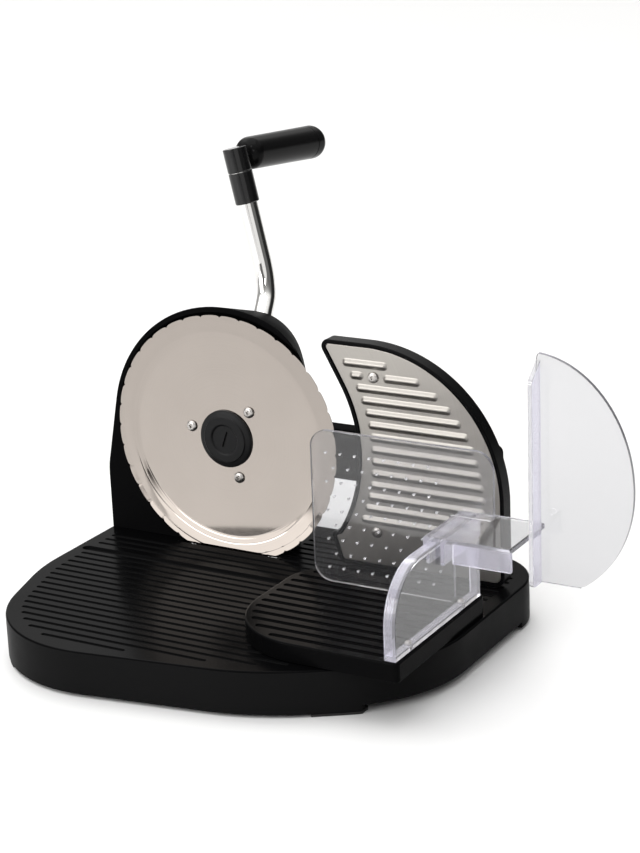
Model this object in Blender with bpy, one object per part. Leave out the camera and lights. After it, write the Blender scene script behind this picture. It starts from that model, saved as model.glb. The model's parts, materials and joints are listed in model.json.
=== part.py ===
"""Hand-cranked bread slicer: a round wave-toothed blade turned by a rear crank through two
gears, a crescent stop plate that sets the slice thickness, and a carriage with a clear pusher.

Metres, +Z up, floor at Z = 0. The blade stands in the plane Y = 0 and faces -Y, where the
carriage slides along X. Every size below is one that can be set by itself.
"""
import math

import bmesh
import bpy
from mathutils import Matrix, Vector

# Gaps between pieces
FIT = 0.0003                    # pieces that seat on or in each other
SLIDE = 0.0004                  # pieces that slide along each other
BEYOND = 0.010                  # how far a cutter reaches past the faces that it opens
ROUND_STEP = 12.0               # degrees of arc per straight facet on outlines

# Base moulding
BASE_TOP = 0.030
BASE_PLATE = 0.004
BASE_WALL = 0.003
BASE_LIFT = 0.002               # lower edge of the skirt above the floor
BASE_RECESS = 0.004             # extra lift of the skirt under the right side, for fingers
BASE_LEFT = -0.099
BASE_RIGHT = 0.208
BASE_BACK = 0.062
BASE_LEFT_TURN = -0.0817        # y where the left side meets the slanting front left one
BASE_NOSE_X = -0.065            # the outline's foremost corner
BASE_FRONT = -0.200
BASE_BEND_X = 0.121             # corner between the front and the slanting front right side
BASE_BEND_Y = -0.1725
BASE_RIGHT_TURN = -0.116
BASE_ROUND_REAR_LEFT = 0.020    # roundings of the outline's corners
BASE_ROUND_LEFT = 0.130
BASE_ROUND_NOSE = 0.085
BASE_ROUND_BEND = 0.155
BASE_ROUND_RIGHT = 0.092
BASE_ROUND_REAR_RIGHT = 0.045
BASE_EDGE = 0.0012              # rounding of the top edge
GROOVE_PITCH = 0.00785
GROOVE_WIDTH = 0.0026
GROOVE_DEPTH = 0.0013
GROOVE_MARGIN = 0.0105
GROOVE_FIRST = -0.0494
GUIDE_Y = -0.0405
GUIDE_WIDTH = 0.0052
GUIDE_DEPTH = 0.0026
GUIDE_MARGIN = 0.0063
SLOT_HALF_LENGTH = 0.0385
SLOT_FRONT = -0.0048
SLOT_BACK = 0.0048
FOOT_SIZE = 0.026
FOOT_NOSE_X = 0.009             # front left foot's middle, from the outline's foremost corner
FOOT_NOSE_Y = 0.043
FOOT_BEND_X = 0.040             # front right foot's middle, from the corner before it
FOOT_BEND_Y = 0.0315
FOOT_CORNER = 0.021             # rear right foot's middle, from both sides
FOOT_BOSS_INSET = 0.006         # stud, from a foot's middle towards the base's middle
FOOT_BOSS_RADIUS = 0.0075
FOOT_STUD_RADIUS = 0.0040
FOOT_STUD_DEPTH = 0.009

# Blade
BLADE_AXIS_Z = 0.107
BLADE_RADIUS = 0.085
BLADE_THICKNESS = 0.001
BLADE_WAVES = 36
WAVE_STEPS = 3
BLADE_WAVE_DEPTH = 0.0012
BLADE_DISH = 0.0020             # how far the middle stands behind the rim
BLADE_STEP_RADIUS = 0.0735
BLADE_BEVEL = 0.0045
BLADE_EDGE = 0.00035
BLADE_SCREW_CIRCLE = 0.0275
BLADE_SCREW_COUNT = 3
BLADE_SCREW_ANGLE = 48.0        # degrees, where the first one rests
CARRIER_RADIUS = 0.0375
CAP_RADIUS = 0.0198
CAP_HEIGHT = 0.0034
CAP_RECESS = 0.0012
CAP_RECESS_RADIUS = 0.0097
CAP_STEM_RADIUS = 0.0031
CAP_STEM_END = 0.0095
COIN_SLOT_WIDTH = 0.0014
COIN_SLOT_LENGTH = 0.0116
COIN_SLOT_DEPTH = 0.0012
COIN_SLOT_LEAN = math.radians(20.0)

# Housing
HOUSING_FRONT = 0.0015
HOUSING_SHELL = 0.0365          # depth of the front shell
HOUSING_WALL = 0.0025
HOUSING_EDGE = 0.0008
COVER_PLATE = 0.0038
BOSS_DEPTH = 0.008              # crank boss behind the rear cover
BOSS_RADIUS = 0.0285
ARCH_FRONT_RADIUS = 0.0903
ARCH_BACK_RADIUS = 0.0755
POCKET_RADIUS = 0.0862
POCKET_DEPTH = 0.004
HOUSING_LEFT = -0.0985
HOUSING_LEFT_BACK = -0.088
HOUSING_FOOT = 0.034
HOUSING_FOOT_BACK = 0.0285
SHOULDER_X = 0.018              # middle of the crank shoulder's rounding, front and back
SHOULDER_Z = 0.040
SHOULDER_X_BACK = 0.001
FLARE_Z = -0.032                # where the left side turns upright, from the blade axis
FLARE_RADIUS = 0.050

# Gears and shafts
GEAR_MODULE = 0.0015
DRIVE_TEETH = 32
BLADE_TEETH = 28
GEAR_WIDTH = 0.008
GEAR_Y = 0.018
GEAR_HUB_RADIUS = 0.0105
TOOTH_ROOT = 0.34               # half widths of a tooth, as shares of the tooth pitch
TOOTH_MIDDLE = 0.215
TOOTH_TIP = 0.10
SHAFT_RADIUS = 0.006
BUSH_WALL = 0.0025
BUSH_LENGTH = 0.0105

# Crank
CRANK_LEAN = math.radians(13.0)
CRANK_REACH = 0.1330            # crank axis to grip axis
CRANK_HUB_RADIUS = 0.012
CRANK_HUB_LENGTH = 0.0155
HUB_COLLAR = 0.0028             # how far the hub's collar stands out along the arm
HUB_COLLAR_WALL = 0.0009
SOCKET_FLOOR = 0.0022           # plastic between the shaft and the arm's end
ARM_RADIUS = 0.00675
ARM_NEAR_Y = 0.0585
ARM_FAR_Y = 0.078
SLEEVE_RADIUS = 0.0083
SLEEVE_LENGTH = 0.0217
ELBOW_REACH = 0.0068            # how deep the arm goes into the elbow
ELBOW_CROWN = 0.0024            # elbow above the pin
GRIP_DROOP = math.radians(4.9)
GRIP_START = 0.0095
GRIP_LENGTH = 0.0975
GRIP_RADIUS_NEAR = 0.0112
GRIP_RADIUS_FAR = 0.0119
GRIP_CAP_LENGTH = 0.0165
PIN_RADIUS = 0.0030
PIN_ROOT = -0.0042              # where the pin starts, from the arm's axis along the grip's
PIN_WALL = 0.0015               # plastic between the arm's end and the pin
NECK_RADIUS = 0.0048            # of the elbow, where the grip turns against it

# Stop plate
STOP_REST_Y = 0.005             # front of the sheet at rest, the set slice thickness
STOP_INNER_RADIUS = 0.098       # concave edge, round the blade axis
STOP_OUTER_RADIUS = 0.096
STOP_OUTER_X = 0.105
STOP_OUTER_Z = -0.020
STOP_FOOT_CLEARANCE = 0.0012
STOP_TIP_CLEARANCE = 0.0053     # upper tip outside the concave edge's circle
STOP_INNER_END = -33.0          # degrees, where the concave edge ends at the heel
STOP_HEEL_X = 0.0057            # heel's corner, from the concave edge's end
STOP_HEEL_Z = 0.0021
STOP_HEEL_ROUND = 0.0032
STOP_FOOT_LEFT = 0.083
STOP_ROUND = 0.005
STOP_ROUND_RIGHT = 0.008
STOP_FRAME_DEPTH = 0.0105
STOP_RIM = 0.0025
STOP_RIM_PROUD = 0.0008
STOP_WEB = 0.0025
SHEET_THICKNESS = 0.0008
SHEET_RIB_PITCH = 0.00805
SHEET_RIB_WIDTH = 0.0052
SHEET_RIB_HEIGHT = 0.0013
SHEET_RIB_LEFT = 0.010          # rib ends, from the concave and from the outer edge
SHEET_RIB_RIGHT = 0.0125
SHEET_RIB_FIRST = 0.0015        # first row below the top of the arc that the right ends follow
SHEET_RIB_CLEAR = 0.0072        # from the top screw's middle to the rib beside it
SHEET_FOOT_BAND = 0.020         # least height of the last row above the lower edge
SHEET_SCREW_IN = 0.01694        # screws, from the left end of the second row
BRACKET_Y = 0.026
BRACKET_DEPTH = 0.024
BRACKET_LOW = 0.081
BRACKET_HIGH = 0.111
BRACKET_ROOT = 0.025            # inside the housing's wall
BRACKET_CLEAR = 0.0435          # where its full depth starts, clear of the rear cover
BRACKET_END = 0.180
BRACKET_ROUND = 0.005
ROD_RADIUS = 0.004
ROD_X = (0.112, 0.166)
ROD_BACK = 0.0575
ADJUSTER_X = 0.139
ADJUSTER_RADIUS = 0.004
KNOB_RADIUS = 0.0175
KNOB_DEPTH = 0.0150
KNOB_LOBES = 16

# Carriage
TRAY_LEFT = 0.078
TRAY_WIDTH = 0.127
TRAY_FRONT = -0.149
TRAY_BACK = -0.031
TRAY_HEIGHT = 0.012
TRAY_WALL = 0.0025
TRAY_TOP = 0.003
TRAY_RIB_PITCH = 0.009
TRAY_GROOVE_WIDTH = 0.0036
TRAY_GROOVE_DEPTH = 0.0012
TRAY_MARGIN = 0.0045
RUNNER_START = 0.004            # from the tray's left edge
RUNNER_LENGTH = 0.096
RUNNER_WIDTH = 0.012

# Clear pieces on the carriage
CLEAR = 0.003                   # wall of the clear mouldings
WALL_INSET = 0.0015             # from the tray's right edge
WALL_FRONT = -0.1475
WALL_BACK = -0.036
WALL_HEIGHT = 0.053
WALL_BAND = 0.008
WALL_BAND_THICKNESS = 0.0025
WALL_CORNER = 0.034
WALL_SCREW_INSET = 0.0025       # from the wall's inner face
WALL_SCREW_FRONT = 0.022        # from the wall's front and back ends
WALL_SCREW_REAR = 0.020
PUSHER_Y = -0.052
PUSHER_LEFT = 0.018             # from the tray's left edge
PUSHER_HEIGHT = 0.100
PUSHER_CORNER = 0.012
PUSHER_OVERHANG = 0.018         # upper part of the plate, past the wall's outer face
SPIKE_PITCH = 0.0102
SPIKE_ROW_PITCH = 0.0095
SPIKE_MARGIN = 0.007            # from the plate's edge
SPIKE_ROW_MARGIN = 0.009        # first and last row, from the plate's lower and upper edge
SPIKE_FIRST = 0.010             # first spike of a row, from the plate's left edge
SPIKE_LAST = 0.006
SPIKE_HEIGHT = 0.0028
SPIKE_RADIUS = 0.0011
SADDLE_LIP = 0.0025
SADDLE_LIP_HEIGHT = 0.014
SADDLE_FRONT = -0.090
SADDLE_BACK = -0.040
SADDLE_REACH = 0.046            # from the wall to the shield's flange
SHIELD_WIDTH = 0.061
SHIELD_MIDDLE = 0.129           # height of its widest place
SHIELD_LOW = 0.066
SHIELD_ABOVE = 0.079            # half heights of its rounded side, above and below the middle
SHIELD_BELOW = 0.072
SHIELD_CENTRE = 0.003           # centre of the rounded side, behind the flange's outer face
SHIELD_TOP_ANGLE = 86.0         # degrees, where the rounded side ends at the top
SHIELD_FLANGE = 0.012
SHIELD_FLANGE_DROP = 0.004      # flange's upper end below the shield's top

# Colour, roughness and metallic value of each finish
FINISHES = {
    "gloss_black": ((0.012, 0.012, 0.013, 1.0), 0.18, 0.0),
    "satin_black": ((0.020, 0.020, 0.021, 1.0), 0.42, 0.0),
    "soft_grey": ((0.060, 0.060, 0.062, 1.0), 0.55, 0.0),
    "rubber": ((0.015, 0.015, 0.015, 1.0), 0.80, 0.0),
    "stainless": ((0.62, 0.59, 0.56, 1.0), 0.16, 1.0),
    "steel": ((0.55, 0.55, 0.56, 1.0), 0.30, 1.0),
    "chrome": ((0.80, 0.80, 0.81, 1.0), 0.06, 1.0),
    "brass": ((0.70, 0.52, 0.24, 1.0), 0.32, 1.0),
    "nylon": ((0.82, 0.80, 0.74, 1.0), 0.45, 0.0),
    "clear": ((0.93, 0.93, 0.96, 0.30), 0.05, 0.0),
}

CRANK_RISE = GEAR_MODULE * (DRIVE_TEETH + BLADE_TEETH) / 2
CRANK_AXIS_Z = BLADE_AXIS_Z + CRANK_RISE
ARM_END = CRANK_REACH - PIN_RADIUS - PIN_WALL
SLEEVE_SEAM = ARM_END - ELBOW_REACH
SLEEVE_START = SLEEVE_SEAM - SLEEVE_LENGTH
SLEEVE_TOP = CRANK_REACH + PIN_RADIUS + ELBOW_CROWN
HOUSING_BACK = HOUSING_FRONT + HOUSING_SHELL
COVER_FRONT = HOUSING_BACK + FIT
COVER_BACK = COVER_FRONT + COVER_PLATE
BOSS_BACK = COVER_BACK + BOSS_DEPTH
POCKET_FLOOR = HOUSING_FRONT + POCKET_DEPTH
CAVITY_FLOOR = POCKET_FLOOR + HOUSING_WALL
TRAY_RIGHT = TRAY_LEFT + TRAY_WIDTH
TRAY_LOW = BASE_TOP + FIT
TRAY_HIGH = TRAY_LOW + TRAY_HEIGHT
PIECES = []
CUTTERS = []


# Outlines

def arc(cx, cz, radius, start, end, steps=0):
    """Points from one angle to another, in degrees."""
    count = steps or max(2, round(abs(end - start) / ROUND_STEP))
    angles = [math.radians(start + (end - start) * k / count) for k in range(count + 1)]
    return [(cx + radius * math.cos(a), cz + radius * math.sin(a)) for a in angles]


def rounded(corners):
    """A closed outline from (u, v, radius) corners, counter-clockwise."""
    outline = []
    for k, (u, v, radius) in enumerate(corners):
        here = Vector((u, v))
        before = Vector(corners[k - 1][:2]) - here
        after = Vector(corners[(k + 1) % len(corners)][:2]) - here
        if radius <= 0:
            outline.append((u, v))
            continue
        before.normalize()
        after.normalize()
        half = before.angle(after) / 2
        reach = radius / math.tan(half)
        centre = here + (before + after).normalized() * (radius / math.sin(half))
        first = here + before * reach - centre
        last = here + after * reach - centre
        start = math.degrees(math.atan2(first.y, first.x))
        turn = math.degrees(math.atan2(last.y, last.x)) - start
        turn = (turn + 180) % 360 - 180
        outline += arc(centre.x, centre.y, radius, start, start + turn)
    return outline


def inset(outline, distance):
    """The outline moved inwards by a distance; it must be counter-clockwise."""
    moved = []
    for k, (u, v) in enumerate(outline):
        here = Vector((u, v))
        along_in = (here - Vector(outline[k - 1])).normalized()
        along_out = (Vector(outline[(k + 1) % len(outline)]) - here).normalized()
        normal_in = Vector((-along_in.y, along_in.x))
        normal_out = Vector((-along_out.y, along_out.x))
        mitre = (normal_in + normal_out).normalized()
        moved.append(tuple(here + mitre * (distance / mitre.dot(normal_in))))
    return moved


def crossing(outline, v):
    """Lowest and highest u where a level line meets the outline, or None."""
    found = []
    for k, (u1, v1) in enumerate(outline):
        u0, v0 = outline[k - 1]
        if (v0 - v) * (v1 - v) < 0:
            found.append(u0 + (u1 - u0) * (v - v0) / (v1 - v0))
    return (min(found), max(found)) if len(found) > 1 else None


def stadium(u0, u1, v, width, steps=4):
    """A slot outline along u with round ends."""
    half = width / 2
    return arc(u1 - half, v, half, -90, 90, steps) + arc(u0 + half, v, half, 90, 270, steps)


def tangent_angle(cx, cz, radius, px, pz, side):
    """Angle on a circle where a line from an outer point touches it."""
    distance = math.hypot(px - cx, pz - cz)
    towards = math.degrees(math.atan2(pz - cz, px - cx))
    return towards + side * math.degrees(math.acos(radius / distance))


# Solids

def lay(axis, u, v, w):
    """Outline coordinates u and v, and w along the axis, as a point."""
    return {"X": (w, u, v), "Y": (u, w, v), "Z": (u, v, w)}[axis]


def mesh_of(bm, name):
    bmesh.ops.recalc_face_normals(bm, faces=bm.faces)
    mesh = bpy.data.meshes.new(name)
    bm.to_mesh(mesh)
    bm.free()
    return mesh


def loft(name, rings):
    """A solid through rings of points of equal count, with flat ends."""
    bm = bmesh.new()
    loops = [[bm.verts.new(point) for point in ring] for ring in rings]
    count = len(loops[0])
    for low, high in zip(loops, loops[1:]):
        for k in range(count):
            bm.faces.new((low[k - 1], low[k], high[k], high[k - 1]))
    bm.faces.new(loops[0])
    bm.faces.new(loops[-1])
    return mesh_of(bm, name)


def prism(name, outline, axis, low, high, edge_low=0.0, edge_high=0.0):
    """An extruded outline, its ends chamfered where an edge size is given."""
    levels = [(low, edge_low), (low + edge_low, 0.0), (high - edge_high, 0.0), (high, edge_high)]
    if not edge_low:
        levels = levels[1:]
    if not edge_high:
        levels = levels[:-1]
    rings = []
    for w, distance in levels:
        ring = inset(outline, distance) if distance else outline
        rings.append([lay(axis, u, v, w) for u, v in ring])
    return loft(name, rings)


def prisms(name, outlines, axis, low, high):
    """Several extruded outlines as separate bodies in one mesh."""
    bm = bmesh.new()
    for outline in outlines:
        ends = [[bm.verts.new(lay(axis, u, v, w)) for u, v in outline] for w in (low, high)]
        for k in range(len(outline)):
            bm.faces.new((ends[0][k - 1], ends[0][k], ends[1][k], ends[1][k - 1]))
        bm.faces.new(ends[0])
        bm.faces.new(ends[1])
    return mesh_of(bm, name)


def turned(name, profile, x=0.0, z=0.0, steps=28, hollow=False):
    """A profile of (radius, y) points spun about an axis along Y through x, z."""
    bm = bmesh.new()
    loops = []
    for radius, y in profile:
        if radius <= 0:
            loops.append([bm.verts.new((x, y, z))])
            continue
        loop = []
        for k in range(steps):
            a = 2 * math.pi * k / steps
            loop.append(bm.verts.new((x + radius * math.cos(a), y, z + radius * math.sin(a))))
        loops.append(loop)
    pairs = list(zip(loops, loops[1:])) + ([(loops[-1], loops[0])] if hollow else [])
    for one, two in pairs:
        for k in range(steps):
            if len(one) == 1:
                bm.faces.new((one[0], two[k], two[k - 1]))
            elif len(two) == 1:
                bm.faces.new((one[k - 1], one[k], two[0]))
            else:
                bm.faces.new((one[k - 1], one[k], two[k], two[k - 1]))
    if not hollow:
        for loop in (loops[0], loops[-1]):
            if len(loop) > 1:
                bm.faces.new(loop)
    return mesh_of(bm, name)


def cylinder(name, radius, y0, y1, x=0.0, z=0.0, steps=28):
    return turned(name, [(radius, y0), (radius, y1)], x, z, steps)


def upright(name, radius, x, y, z0, z1, steps=20):
    """A cylinder along Z."""
    return prism(name, arc(x, y, radius, 0, 360 - 360 / steps, steps - 1), "Z", z0, z1)


def block(name, x0, x1, y0, y1, z0, z1):
    return prism(name, [(x0, y0), (x1, y0), (x1, y1), (x0, y1)], "Z", z0, z1)


def gear(name, teeth, y0, x, z, phase):
    """A spur gear with a hub on its rear side."""
    pitch_radius = GEAR_MODULE * teeth / 2
    tip = pitch_radius + GEAR_MODULE
    root = pitch_radius - 1.25 * GEAR_MODULE
    shape = ((root, TOOTH_ROOT), (pitch_radius, TOOTH_MIDDLE), (tip, TOOTH_TIP))
    outline = []
    for k in range(teeth):
        for side in (-1, 1):
            for radius, share in (shape if side < 0 else reversed(shape)):
                a = 2 * math.pi * (k + phase + side * share) / teeth
                outline.append((x + radius * math.cos(a), z + radius * math.sin(a)))
    return prism(name, outline, "Y", y0, y0 + GEAR_WIDTH)


# Objects

def add_object(name, mesh):
    thing = bpy.data.objects.new(name, mesh)
    bpy.context.scene.collection.objects.link(thing)
    return thing


def material_for(name, finish):
    colour, roughness, metallic = FINISHES[finish]
    material = bpy.data.materials.new(name + "_" + finish)
    material.use_nodes = True
    shader = material.node_tree.nodes["Principled BSDF"]
    shader.inputs["Base Color"].default_value = colour
    shader.inputs["Roughness"].default_value = roughness
    shader.inputs["Metallic"].default_value = metallic
    shader.inputs["Alpha"].default_value = colour[3]
    return material


def piece(name, mesh, finish, origin=(0.0, 0.0, 0.0), smooth=False):
    """A named piece; its origin stands on the axis that it turns or slides on."""
    mesh.name = name
    for vertex in mesh.vertices:
        vertex.co -= Vector(origin)
    mesh.materials.append(material_for(name, finish))
    if smooth:
        mesh.shade_smooth()
        mesh.set_sharp_from_angle(angle=math.radians(35))
    thing = add_object(name, mesh)
    thing.location = origin
    PIECES.append(thing)
    return thing


def shape_with(thing, mesh, operation):
    """Cut a mesh out of a piece, or join it on."""
    cutter = add_object(mesh.name, mesh)
    cutter.hide_render = True
    cutter.display_type = "WIRE"
    cutter.hide_set(True)
    CUTTERS.append(cutter)
    change = thing.modifiers.new(mesh.name, "BOOLEAN")
    change.object = cutter
    change.operation = operation
    change.solver = "EXACT"
    change.use_self = False
    return thing


def cut(thing, *meshes):
    for mesh in meshes:
        shape_with(thing, mesh, "DIFFERENCE")


def join(thing, *meshes):
    for mesh in meshes:
        shape_with(thing, mesh, "UNION")


def screw_mesh(name, head_radius, head_height, shank_radius, y_seat, y_tip, x, z):
    """A pan-head screw along Y whose head seats at y_seat and whose tip is at y_tip."""
    away = 1 if y_seat > y_tip else -1
    profile = [(head_radius * 0.72, y_seat + away * head_height),
               (head_radius, y_seat + away * head_height * 0.45), (head_radius, y_seat),
               (shank_radius, y_seat), (shank_radius, y_tip)]
    return turned(name, profile, x, z, 10)


def merged(name, meshes):
    """Separate bodies in one mesh."""
    bm = bmesh.new()
    for mesh in meshes:
        bm.from_mesh(mesh)
        bpy.data.meshes.remove(mesh)
    return mesh_of(bm, name)


# Base and feet

BASE_OUTLINE = rounded([
    (BASE_LEFT, BASE_BACK, BASE_ROUND_REAR_LEFT),
    (BASE_LEFT, BASE_LEFT_TURN, BASE_ROUND_LEFT),
    (BASE_NOSE_X, BASE_FRONT, BASE_ROUND_NOSE),
    (BASE_BEND_X, BASE_BEND_Y, BASE_ROUND_BEND),
    (BASE_RIGHT, BASE_RIGHT_TURN, BASE_ROUND_RIGHT),
    (BASE_RIGHT, BASE_BACK, BASE_ROUND_REAR_RIGHT),
])
FEET = {
    "foot_front_left": (BASE_NOSE_X + FOOT_NOSE_X, BASE_FRONT + FOOT_NOSE_Y),
    "foot_front_right": (BASE_BEND_X + FOOT_BEND_X, BASE_BEND_Y + FOOT_BEND_Y),
    "foot_rear_left": (BASE_LEFT + FOOT_SIZE / 2, BASE_BACK - FOOT_SIZE / 2),
    "foot_rear_right": (BASE_RIGHT - FOOT_CORNER, BASE_BACK - FOOT_CORNER),
}
BASE_SCREWS = ((-0.080, 0.020), (-0.040, 0.029), (0.018, 0.029))


def foot_stud(x, y):
    """Where a foot's stud stands, a little further in than the foot itself."""
    middle = Vector((BASE_LEFT + BASE_RIGHT, BASE_FRONT + BASE_BACK)) / 2
    inward = (middle - Vector((x, y))).normalized() * FOOT_BOSS_INSET
    return x + inward.x, y + inward.y


def groove_outlines():
    """Top grooves along X, with round ends inside the edge of the base."""
    border = inset(BASE_OUTLINE, GROOVE_MARGIN)
    outlines = []
    y = GROOVE_FIRST
    while crossing(border, y):
        low, high = crossing(border, y)
        outlines.append(stadium(low, high, y, GROOVE_WIDTH, 2))
        y -= GROOVE_PITCH
    behind = GUIDE_Y + 1.45 * GROOVE_PITCH
    while behind + GROOVE_WIDTH < BASE_BACK - GROOVE_MARGIN:
        low, high = crossing(border, behind)
        if behind + GROOVE_WIDTH / 2 > SLOT_FRONT - GROOVE_WIDTH:
            low = SLOT_HALF_LENGTH + GROOVE_WIDTH
        outlines.append(stadium(low, high, behind, GROOVE_WIDTH, 2))
        behind += GROOVE_PITCH
    return outlines


def guide_span():
    return crossing(inset(BASE_OUTLINE, GUIDE_MARGIN), GUIDE_Y)


def build_base():
    edge = BASE_EDGE
    rings = [[(x, y, z) for x, y in inset(BASE_OUTLINE, distance)]
             for z, distance in ((BASE_LIFT, 0.0), (BASE_TOP - edge, 0.0),
                                 (BASE_TOP - 0.3 * edge, 0.3 * edge), (BASE_TOP, edge))]
    base = piece("base_shell", loft("base_shell", rings), "gloss_black")
    hollow = inset(BASE_OUTLINE, BASE_WALL)
    under = BASE_TOP - BASE_PLATE
    cut(base, prism("base_hollow", hollow, "Z", BASE_LIFT - BEYOND, under))
    for name, middle in FEET.items():
        x, y = foot_stud(*middle)
        join(base, upright(name + "_boss", FOOT_BOSS_RADIUS, x, y, BASE_LIFT + FIT, under + 0.001))
        cut(base, upright(name + "_socket", FOOT_STUD_RADIUS + FIT, x, y,
                          BASE_LIFT - 0.001, BASE_LIFT + FOOT_STUD_DEPTH + FIT))
    low, high = guide_span()
    floor = BASE_TOP - GUIDE_DEPTH
    cut(base, prisms("base_grooves", groove_outlines(), "Z", BASE_TOP - GROOVE_DEPTH, BASE_TOP + BEYOND))
    cut(base, prism("base_guide", stadium(low, high, GUIDE_Y, GUIDE_WIDTH), "Z", floor, BASE_TOP + BEYOND))
    cut(base, block("base_blade_slot", -SLOT_HALF_LENGTH, SLOT_HALF_LENGTH, SLOT_FRONT, SLOT_BACK,
                    0.0, BASE_TOP + BEYOND))
    for k, (x, y) in enumerate(BASE_SCREWS):
        cut(base, upright("base_screw_hole_%d" % k, 0.0020, x, y, 0.0, BASE_TOP + BEYOND, 12))
    recess_left = FEET["foot_rear_right"][0] - FOOT_SIZE / 2
    recess_back = FEET["foot_rear_right"][1] - FOOT_SIZE
    cut(base, block("base_finger_recess", recess_left, BASE_RIGHT + BEYOND, BASE_FRONT, recess_back, 0.0,
                    BASE_LIFT + BASE_RECESS))


def build_feet():
    for name, (x, y) in FEET.items():
        half = FOOT_SIZE / 2
        pad = prism(name, inset(BASE_OUTLINE, FIT), "Z", 0.0, BASE_LIFT - FIT, 0.0004)
        foot = piece(name, pad, "rubber")
        shape_with(foot, block(name + "_bounds", x - half, x + half, y - half, y + half,
                               -BEYOND, BASE_LIFT), "INTERSECT")
        x, y = foot_stud(x, y)
        join(foot, upright(name + "_stud", FOOT_STUD_RADIUS, x, y, BASE_LIFT - 0.001,
                           BASE_LIFT + FOOT_STUD_DEPTH, 16))


def build_base_screws():
    """Screws up through the base plate into the housing's floor."""
    seat = BASE_TOP - BASE_PLATE - FIT
    for k, (x, y) in enumerate(BASE_SCREWS):
        name = "base_screw_%d" % (k + 1)
        rings = []
        for radius, z in ((0.0026, seat - 0.0024), (0.0036, seat - 0.0014), (0.0036, seat),
                          (0.0015, seat), (0.0015, BASE_TOP + 0.012)):
            rings.append([(u, v, z) for u, v in arc(x, y, radius, 0, 324, 9)])
        piece(name, loft(name, rings), "steel")


# Housing

def between(front, back, y):
    return front + (back - front) * (y - HOUSING_FRONT) / (BOSS_BACK - HOUSING_FRONT)


def housing_ring(y, grow=0.0, floor=BASE_TOP + FIT):
    """The housing's outline at one depth: a flared foot, the arch and the crank shoulder."""
    arch = between(ARCH_FRONT_RADIUS, ARCH_BACK_RADIUS, y)
    left = between(HOUSING_LEFT, HOUSING_LEFT_BACK, y) - grow
    right = between(HOUSING_FOOT, HOUSING_FOOT_BACK, y) + grow
    cx = between(SHOULDER_X, SHOULDER_X_BACK, y)
    cz = between(SHOULDER_Z, CRANK_RISE, y)
    shoulder = arch - math.hypot(cx, cz) + grow
    arch += grow
    low = floor - BLADE_AXIS_Z
    start = tangent_angle(0.0, 0.0, arch, left, FLARE_Z, -1)
    meet = math.degrees(math.atan2(cz, cx))
    end = tangent_angle(cx, cz, shoulder, right, low, 1)
    touch = math.radians(start)
    towards = (arch * math.cos(touch), arch * math.sin(touch))
    flare = rounded([(left, low, 0), (left, FLARE_Z, FLARE_RADIUS), (towards[0], towards[1], 0)])
    lower_left = [point for point in reversed(flare[:-1])]
    points = [(right, low)] + arc(cx, cz, shoulder, end, meet, 11)
    points += arc(0.0, 0.0, arch, meet, start % 360, 16)[1:] + lower_left
    return [(u, y, v + BLADE_AXIS_Z) for u, v in points]


def housing_screw_spots():
    """Where the rear cover is screwed on, from the blade axis."""
    return ((-0.070, -0.058), (-0.058, 0.032), (0.019, -0.058), (-0.030, -0.058))


def build_housing():
    front = HOUSING_FRONT
    rings = [housing_ring(front, -HOUSING_EDGE), housing_ring(front + HOUSING_EDGE), housing_ring(GEAR_Y),
             housing_ring(HOUSING_BACK)]
    shell = piece("housing_shell", loft("housing_shell", rings), "satin_black", smooth=True)
    bracket = rounded([(BRACKET_ROOT, BRACKET_LOW, 0), (BRACKET_END, BRACKET_LOW, BRACKET_ROUND),
                       (BRACKET_END, BRACKET_HIGH, BRACKET_ROUND), (BRACKET_ROOT, BRACKET_HIGH, 0)])
    join(shell, prism("bracket_root", bracket, "Y", BRACKET_Y, HOUSING_BACK - FIT))
    outer = [(max(u, BRACKET_CLEAR), v) for u, v in bracket]
    join(shell, prism("bracket_arm", outer, "Y", BRACKET_Y + 0.002, BRACKET_Y + BRACKET_DEPTH))
    floor = BASE_TOP + FIT + HOUSING_WALL
    cavity = [housing_ring(y, -HOUSING_WALL, floor) for y in (CAVITY_FLOOR, GEAR_Y, HOUSING_BACK + BEYOND)]
    cut(shell, loft("housing_cavity", cavity))
    cut(shell, cylinder("blade_pocket", POCKET_RADIUS, -BEYOND, POCKET_FLOOR, 0.0, BLADE_AXIS_Z, 72))
    bush = SHAFT_RADIUS + BUSH_WALL + FIT
    for name, z in (("spindle", BLADE_AXIS_Z), ("crank", CRANK_AXIS_Z)):
        join(shell, cylinder(name + "_boss", bush + 0.003, CAVITY_FLOOR - 0.001,
                             POCKET_FLOOR + BUSH_LENGTH - 0.0004, 0.0, z))
    cut(shell, cylinder("spindle_bore", bush, 0.0, HOUSING_BACK, 0.0, BLADE_AXIS_Z))
    cut(shell, cylinder("crank_bore", bush, POCKET_FLOOR + 0.0012, HOUSING_BACK, 0.0, CRANK_AXIS_Z))
    for k, (x, z) in enumerate(housing_screw_spots()):
        join(shell, cylinder("cover_post_%d" % k, 0.0042, CAVITY_FLOOR - 0.001, HOUSING_BACK, x,
                             BLADE_AXIS_Z + z, 12))
        cut(shell, cylinder("cover_thread_%d" % k, 0.0017, HOUSING_BACK - 0.012, HOUSING_BACK + 0.001,
                            x, BLADE_AXIS_Z + z, 12))
    for k, (x, y) in enumerate(BASE_SCREWS):
        join(shell, upright("floor_post_%d" % k, 0.0042, x, y, floor - 0.001, BASE_TOP + 0.016, 12))
        cut(shell, upright("floor_thread_%d" % k, 0.0018, x, y, 0.0, BASE_TOP + 0.0135, 12))
    middle = (BRACKET_LOW + BRACKET_HIGH) / 2
    for k, x in enumerate(ROD_X):
        cut(shell, cylinder("rod_bore_%d" % k, ROD_RADIUS + SLIDE, 0.0, BRACKET_Y + BRACKET_DEPTH + BEYOND,
                            x, middle, 24))
    cut(shell, cylinder("adjuster_bore", ADJUSTER_RADIUS + SLIDE, 0.0, BRACKET_Y + BRACKET_DEPTH + BEYOND,
                        ADJUSTER_X, middle, 24))


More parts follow.
